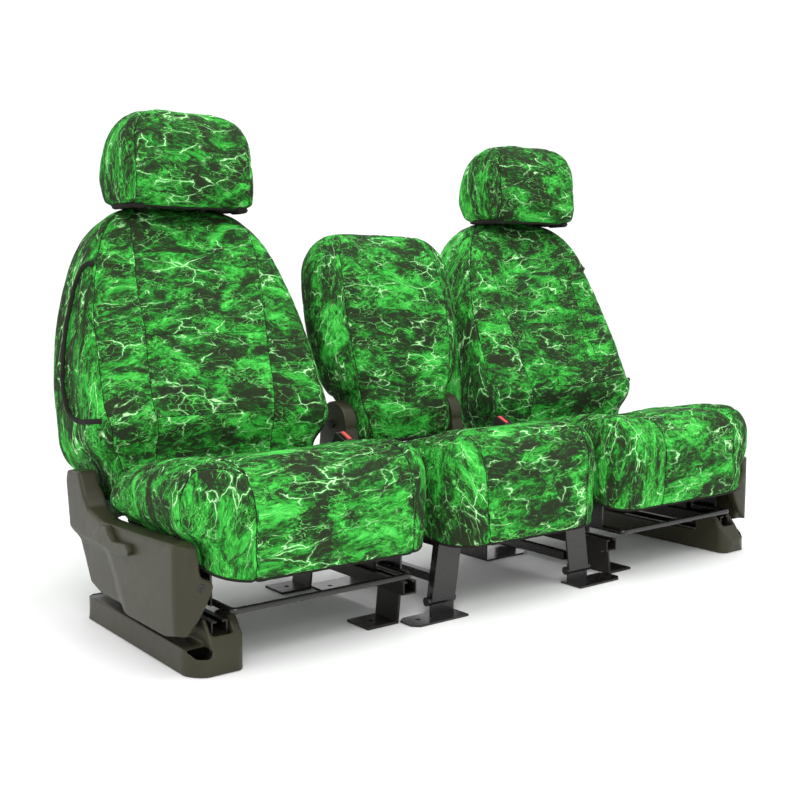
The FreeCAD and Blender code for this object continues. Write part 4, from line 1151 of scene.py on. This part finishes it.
def side_tag():
    """The small blank label folded double and caught in the driver's outboard back seam."""
    rows, cols = 9, 13
    sheets = []
    for lift in (0.0, 1.5):
        u, v = np.meshgrid(np.linspace(0, 1, cols), np.linspace(0, 1, rows))
        x = 206.0 + 32.0 * u
        z = 470.0 + 26.0 * v
        y = -20.0 + lift * (1 - 0.45 * u ** 6) + 2.2 * np.sin(math.pi * u) * (v - 0.5) + 1.2 * u * u
        sheets.append(np.stack([x, y, z], axis=2).reshape(-1, 3))
    faces, rim = sheet_faces(rows, cols)
    points = leaned(np.concatenate(sheets), RECLINE_Y, RECLINE_Z, BACK_TILT) + np.array((SEAT_X, 0.0, 0.0))
    label = make_mesh("driver_side_tag_label", points, flipped(faces), LINING)
    settle(label, "driver_back", "black_webbing", "driver_side_tag")
    border = (points[rim] + points[np.array(rim) + rows * cols]) / 2
    points, faces = tube_mesh(border, 0.0011, 6, closed=True, up=(0, 1, 0))
    settle(make_mesh("driver_side_tag_border", points, faces, BINDING), "driver_back", "black_webbing")


STRAP_PLACES = (-60.0, 40.0, 120.0)  # how far back each strap under a cushion runs, in mm


def cushion_straps():
    """Webbing straps drawn across under each outboard cushion, sagging slightly and bound at the edges."""
    meshes = []
    for y in STRAP_PLACES:
        rows, cols = 41, 9
        sheets = []
        for lift in (0.0, 2.0):
            u, v = np.meshgrid(np.linspace(-1, 1, cols), np.linspace(-1, 1, rows))
            edge = 0.5 * (np.abs(u) > 0.9)
            z = 188.0 + lift * (1 - 0.3 * edge) - 1.8 * (1 - v * v) + 0.7 * np.sin(9 * v + y) * u
            sheets.append(np.stack([239.0 * v, y + 19.0 + 19.0 * u, z], axis=2).reshape(-1, 3) * MM)
        faces, _ = sheet_faces(rows, cols)
        meshes.append((np.concatenate(sheets), faces))
    points, faces = joined(meshes)
    for side in SIDES:
        piece = sided_mesh(f"{side}_strap_webbing", points, faces, side, LINING)
        settle(piece, f"{side}_seat", "black_webbing", f"{side}_cushion_straps")


side_tag()
cushion_straps()

# ---------------------------------------------------------------- moulded plastic


def prism_mesh(outline, low, high, axis):
    """An outline swept along x (points are y, z) or along y (points are x, z), in metres."""
    count = len(outline)
    points = []
    for depth in (low, high):
        for a, b in outline:
            points.append((depth, a, b) if axis == "x" else (a, depth, b))
    faces = [tuple(range(count)), tuple(range(2 * count - 1, count - 1, -1))]
    faces += [(k, k + count, (k + 1) % count + count, (k + 1) % count) for k in range(count)]
    return np.array(points), faces


def moulded(name, points, faces, voxel, rounds, shape=None):
    """Fuse a solid into one fine skin with rounded edges, as moulded plastic has, then shape its vertices."""
    rough = make_mesh(name + "_rough", points, faces, TAUPE)
    remesh = rough.modifiers.new("fuse", "REMESH")
    remesh.mode = "VOXEL"
    remesh.voxel_size = voxel
    remesh.use_smooth_shade = True
    ease = rough.modifiers.new("ease", "SMOOTH")
    ease.factor, ease.iterations = 0.5, rounds
    evaluated = rough.evaluated_get(bpy.context.evaluated_depsgraph_get()).to_mesh()
    fine = np.empty(len(evaluated.vertices) * 3)
    evaluated.vertices.foreach_get("co", fine)
    fine = fine.reshape(-1, 3)
    skin = [tuple(polygon.vertices) for polygon in evaluated.polygons]
    bpy.data.objects.remove(rough)
    if shape is not None:
        fine = shape(fine)
    return fine, skin


def node_mesh(node):
    data = frame["nodes"][node].data
    return [tuple(v.co) for v in data.vertices], [tuple(p.vertices) for p in data.polygons]


def eased_step(value, width):
    t = np.clip(value / width * 0.5 + 0.5, 0, 1)
    return t * t * (3 - 2 * t)


SHIELD_OUTLINE = [
    (-160, 73), (-117, 62), (60, 62), (70, 74), (170, 74), (216, 85), (268, 168), (306, 178), (320, 275),
    (312, 294), (252, 298), (229, 255), (208, 232), (143, 219), (1, 223), (-158, 230), (-172, 222), (-178, 196),
    (-168, 140),
]
SHIELD_CHEEK = [
    (-285, 72), (-273, 72), (-263, 83), (-250, 97), (-232, 127), (-222, 150), (-226, 160), (-246, 170),
    (-252, 200), (-268, 226), (-285, 226),
]
SHIELD_LEDGE = [(60, 198), (236, 198), (240, 268), (222, 246), (205, 226), (143, 213), (60, 217)]
SHIELD_CREASE = [(135, 240), (121, 169), (88, 128), (50, 60), (44, 40)]
SHIELD_GROOVE = [(262, 172), (237, 128), (207, 88), (157, 79), (72, 79)]
SHIELD_STEP = [(300, 180), (234, 168), (188, 168), (140, 170)]


def corner_rounded(points, centre, radius, signs):
    """Pull what lies past a quarter circle in plan back onto it."""
    away = points[:, :2] - np.array(centre)
    size = np.linalg.norm(away, axis=1)
    past = (away[:, 0] * signs[0] > 0) & (away[:, 1] * signs[1] > 0) & (size > radius)
    out = points.copy()
    out[past, :2] = np.array(centre) + away[past] * (radius / size[past])[:, None]
    return out


def foot_shape(points):
    """Round the cover's ends in plan and flare its lower edge."""
    for centre, radius, signs in (
        ((-0.222, -0.140), 0.051, (-1, -1)), ((-0.222, 0.246), 0.051, (-1, 1)),
        ((-0.196, -0.164), 0.026, (1, -1)),
    ):
        points = corner_rounded(points, centre, radius, signs)
    flare = np.exp(-points[:, 2] / 0.006)
    points[:, 0] -= 0.002 * flare * (points[:, 0] < -0.24)
    return points


def shield_shape(points):
    """Recess the rear part of the outer face, groove its parting lines and crown the whole."""
    points = corner_rounded(points, (-0.266, -0.148), 0.024, (-1, -1))
    place = points[:, 1:]
    outer = eased_step(-0.272 - points[:, 0], 0.012)
    crease = np.array(SHIELD_CREASE) * MM
    crease_y = np.interp(points[:, 2], crease[::-1, 1], crease[::-1, 0])
    behind = eased_step(points[:, 1] - crease_y, 0.022)
    below = eased_step(0.168 - points[:, 2], 0.008)
    groove = np.exp(-((polygon_distance(place, np.array(SHIELD_GROOVE) * MM, closed=False) / 0.0017) ** 2))
    step = np.exp(-((polygon_distance(place, np.array(SHIELD_STEP) * MM, closed=False) / 0.0020) ** 2))
    crown = np.clip(1 - (points[:, 1] / 0.22) ** 2, 0, 1)
    crown *= np.clip(1 - ((points[:, 2] - 0.15) / 0.1) ** 2, 0, 1)
    out = points.copy()
    out[:, 0] += outer * (0.0045 * behind * below + 0.0016 * groove + 0.0014 * step - 0.0028 * crown)
    return out


def shields():
    meshes = [
        prism_mesh(np.array(SHIELD_OUTLINE) * MM, -0.290, -0.252, "x"),
        prism_mesh(np.array(SHIELD_CHEEK) * MM, -0.172, -0.150, "y"),
        prism_mesh(np.array(SHIELD_LEDGE) * MM, -0.256, -0.2465, "x"),
    ]
    points, faces = moulded("shield", *joined(meshes), 0.0026, 22, shield_shape)
    for side in SIDES:
        piece = sided_mesh(f"{side}_shield_skin", points, faces, side, TAUPE)
        settle(piece, f"{side}_seat", "taupe_plastic", f"{side}_side_shield")


shields()


def small_mouldings():
    for ending, body, voxel, rounds, look, finish, shape in (
        ("foot_cover", "floor_frame", 0.0026, 16, TAUPE, "taupe_plastic", foot_shape),
        ("recline_lever", "lever", 0.0016, 7, TAUPE, "taupe_plastic", None),
        ("buckle", "buckle", 0.0012, 3, BLACK_PLASTIC, "black_plastic", None),
    ):
        rough, skin = node_mesh(f"passenger_{ending}")
        local = np.array(rough) + np.array((SEAT_X, 0.0, 0.0))
        points, faces = moulded(ending, local, skin, voxel, rounds, shape)
        for side in SIDES:
            piece = sided_mesh(f"{side}_{ending}_skin", points, faces, side, look)
            on = body if body == "floor_frame" else f"{side}_{body}"
            settle(piece, on, finish, f"{side}_{ending}")


SCREW_PLACE = (-0.247, -0.1715, 0.152)  # in passenger-sense metres
# radius and depth of each ring of the cap, in mm
SCREW_PROFILE = [(2.6, 0.6), (2.9, -1.6), (5.2, -2.2), (6.4, -1.9), (7.4, -0.6), (7.9, 1.2)]


def screws():
    """A recessed black cap screw on the shield's front cheek, turned about its axis."""
    sides = 28
    angles = np.arange(sides) * 2 * math.pi / sides
    rings = [
        np.stack([r * np.cos(angles), np.full(sides, depth), r * np.sin(angles)], axis=1)
        for r, depth in SCREW_PROFILE
    ]
    points = np.concatenate(rings) * MM + np.array(SCREW_PLACE)
    faces = grid_faces(len(rings), sides, True) + [tuple(range(sides - 1, -1, -1))]
    last = (len(rings) - 1) * sides
    faces.append(tuple(last + j for j in range(sides)))
    for side in SIDES:
        cap = sided_mesh(f"{side}_screw_cap", points, faces, side, BLACK_PLASTIC)
        settle(cap, f"{side}_seat", "black_plastic", f"{side}_shield_screw")


small_mouldings()
screws()

BRACKET_HEAD = (275.0, 342.0, 52.0)  # y, z and radius of the round top of a bracket cover


def bracket_covers():
    cy, cz, r = BRACKET_HEAD
    arc = np.linspace(math.radians(-8), math.radians(188), 40)
    outline = [(198.0, 236.0), (340.0, 236.0)] + [(cy + r * math.cos(t), cz + r * math.sin(t)) for t in arc]
    outline = np.array(outline) * MM
    meshes = [prism_mesh(outline, sign * 0.1575 - 0.0175, sign * 0.1575 + 0.0175, "x") for sign in (-1, 1)]
    return moulded("bracket", *joined(meshes), 0.0024, 9)


bracket_skin = make_mesh("center_bracket_skin", *bracket_covers(), TAUPE)
settle(bracket_skin, "floor_frame", "taupe_plastic", "center_bracket_covers")

for piece_name in ("center_cushion_skin", "center_cushion_seams", "center_cushion_binding"):
    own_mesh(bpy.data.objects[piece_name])  # each piece gets a fresh copy of its mesh; the folded back lies on this cushion

# ---------------------------------------------------------------- camera, light and floor, in metres

CAMERA_PLACE = (-1.596, -1.824, 0.664)
CAMERA_YAW, CAMERA_PITCH = math.radians(37.609), math.radians(6.026)
LENS, SENSOR = 50.05, 36.0


def make_camera():
    lens = bpy.data.cameras.new("camera")
    lens.lens, lens.sensor_width = LENS, SENSOR
    eye = bpy.data.objects.new("camera", lens)
    bpy.context.scene.collection.objects.link(eye)
    ahead = Vector((
        math.sin(CAMERA_YAW) * math.cos(CAMERA_PITCH), math.cos(CAMERA_YAW) * math.cos(CAMERA_PITCH),
        -math.sin(CAMERA_PITCH),
    ))
    right = Vector((math.cos(CAMERA_YAW), -math.sin(CAMERA_YAW), 0.0))
    up = right.cross(ahead)
    turn = Matrix((right, up, -ahead)).transposed().to_4x4()
    eye.matrix_world = Matrix.Translation(CAMERA_PLACE) @ turn
    bpy.context.scene.camera = eye


def area_light(name, place, target, size, power, colour=(1.0, 1.0, 1.0)):
    lamp = bpy.data.lights.new(name, "AREA")
    lamp.shape = "DISK"
    lamp.size, lamp.energy, lamp.color = size, power, colour
    holder = bpy.data.objects.new(name, lamp)
    bpy.context.scene.collection.objects.link(holder)
    direction = Vector(target) - Vector(place)
    holder.matrix_world = Matrix.Translation(place) @ direction.to_track_quat("-Z", "Y").to_matrix().to_4x4()


def make_studio():
    world = bpy.data.worlds.new("studio")
    world.use_nodes = True
    background = world.node_tree.nodes["Background"]
    background.inputs["Color"].default_value = (1.0, 1.0, 1.0, 1.0)
    background.inputs["Strength"].default_value = 1.08
    bpy.context.scene.world = world
    area_light("key", (-1.6, -2.2, 2.6), (0.0, 0.0, 0.4), 1.6, 42.0)
    area_light("top", (0.4, -0.3, 3.0), (0.0, 0.1, 0.3), 2.2, 36.0)
    g = Graph("studio_floor")
    place = g.add("ShaderNodeTexCoord").outputs["Object"]
    cloud = g.noise(place, 2.0, 3.0, 0.5)
    pale = g.finish(g.ramp(cloud, [(0.3, (0.93, 0.93, 0.93)), (0.7, (0.95, 0.95, 0.95))]), 0.75)
    size = 14.0
    corners = [(-size, -size, -0.0005), (size, -size, -0.0005), (size, size, -0.0005), (-size, size, -0.0005)]
    make_mesh("studio_floor", corners, [(0, 1, 2, 3)], pale, smooth=False)
    bpy.context.scene.view_settings.view_transform = "Standard"
    bpy.context.scene.view_settings.look = "None"


make_camera()
make_studio()
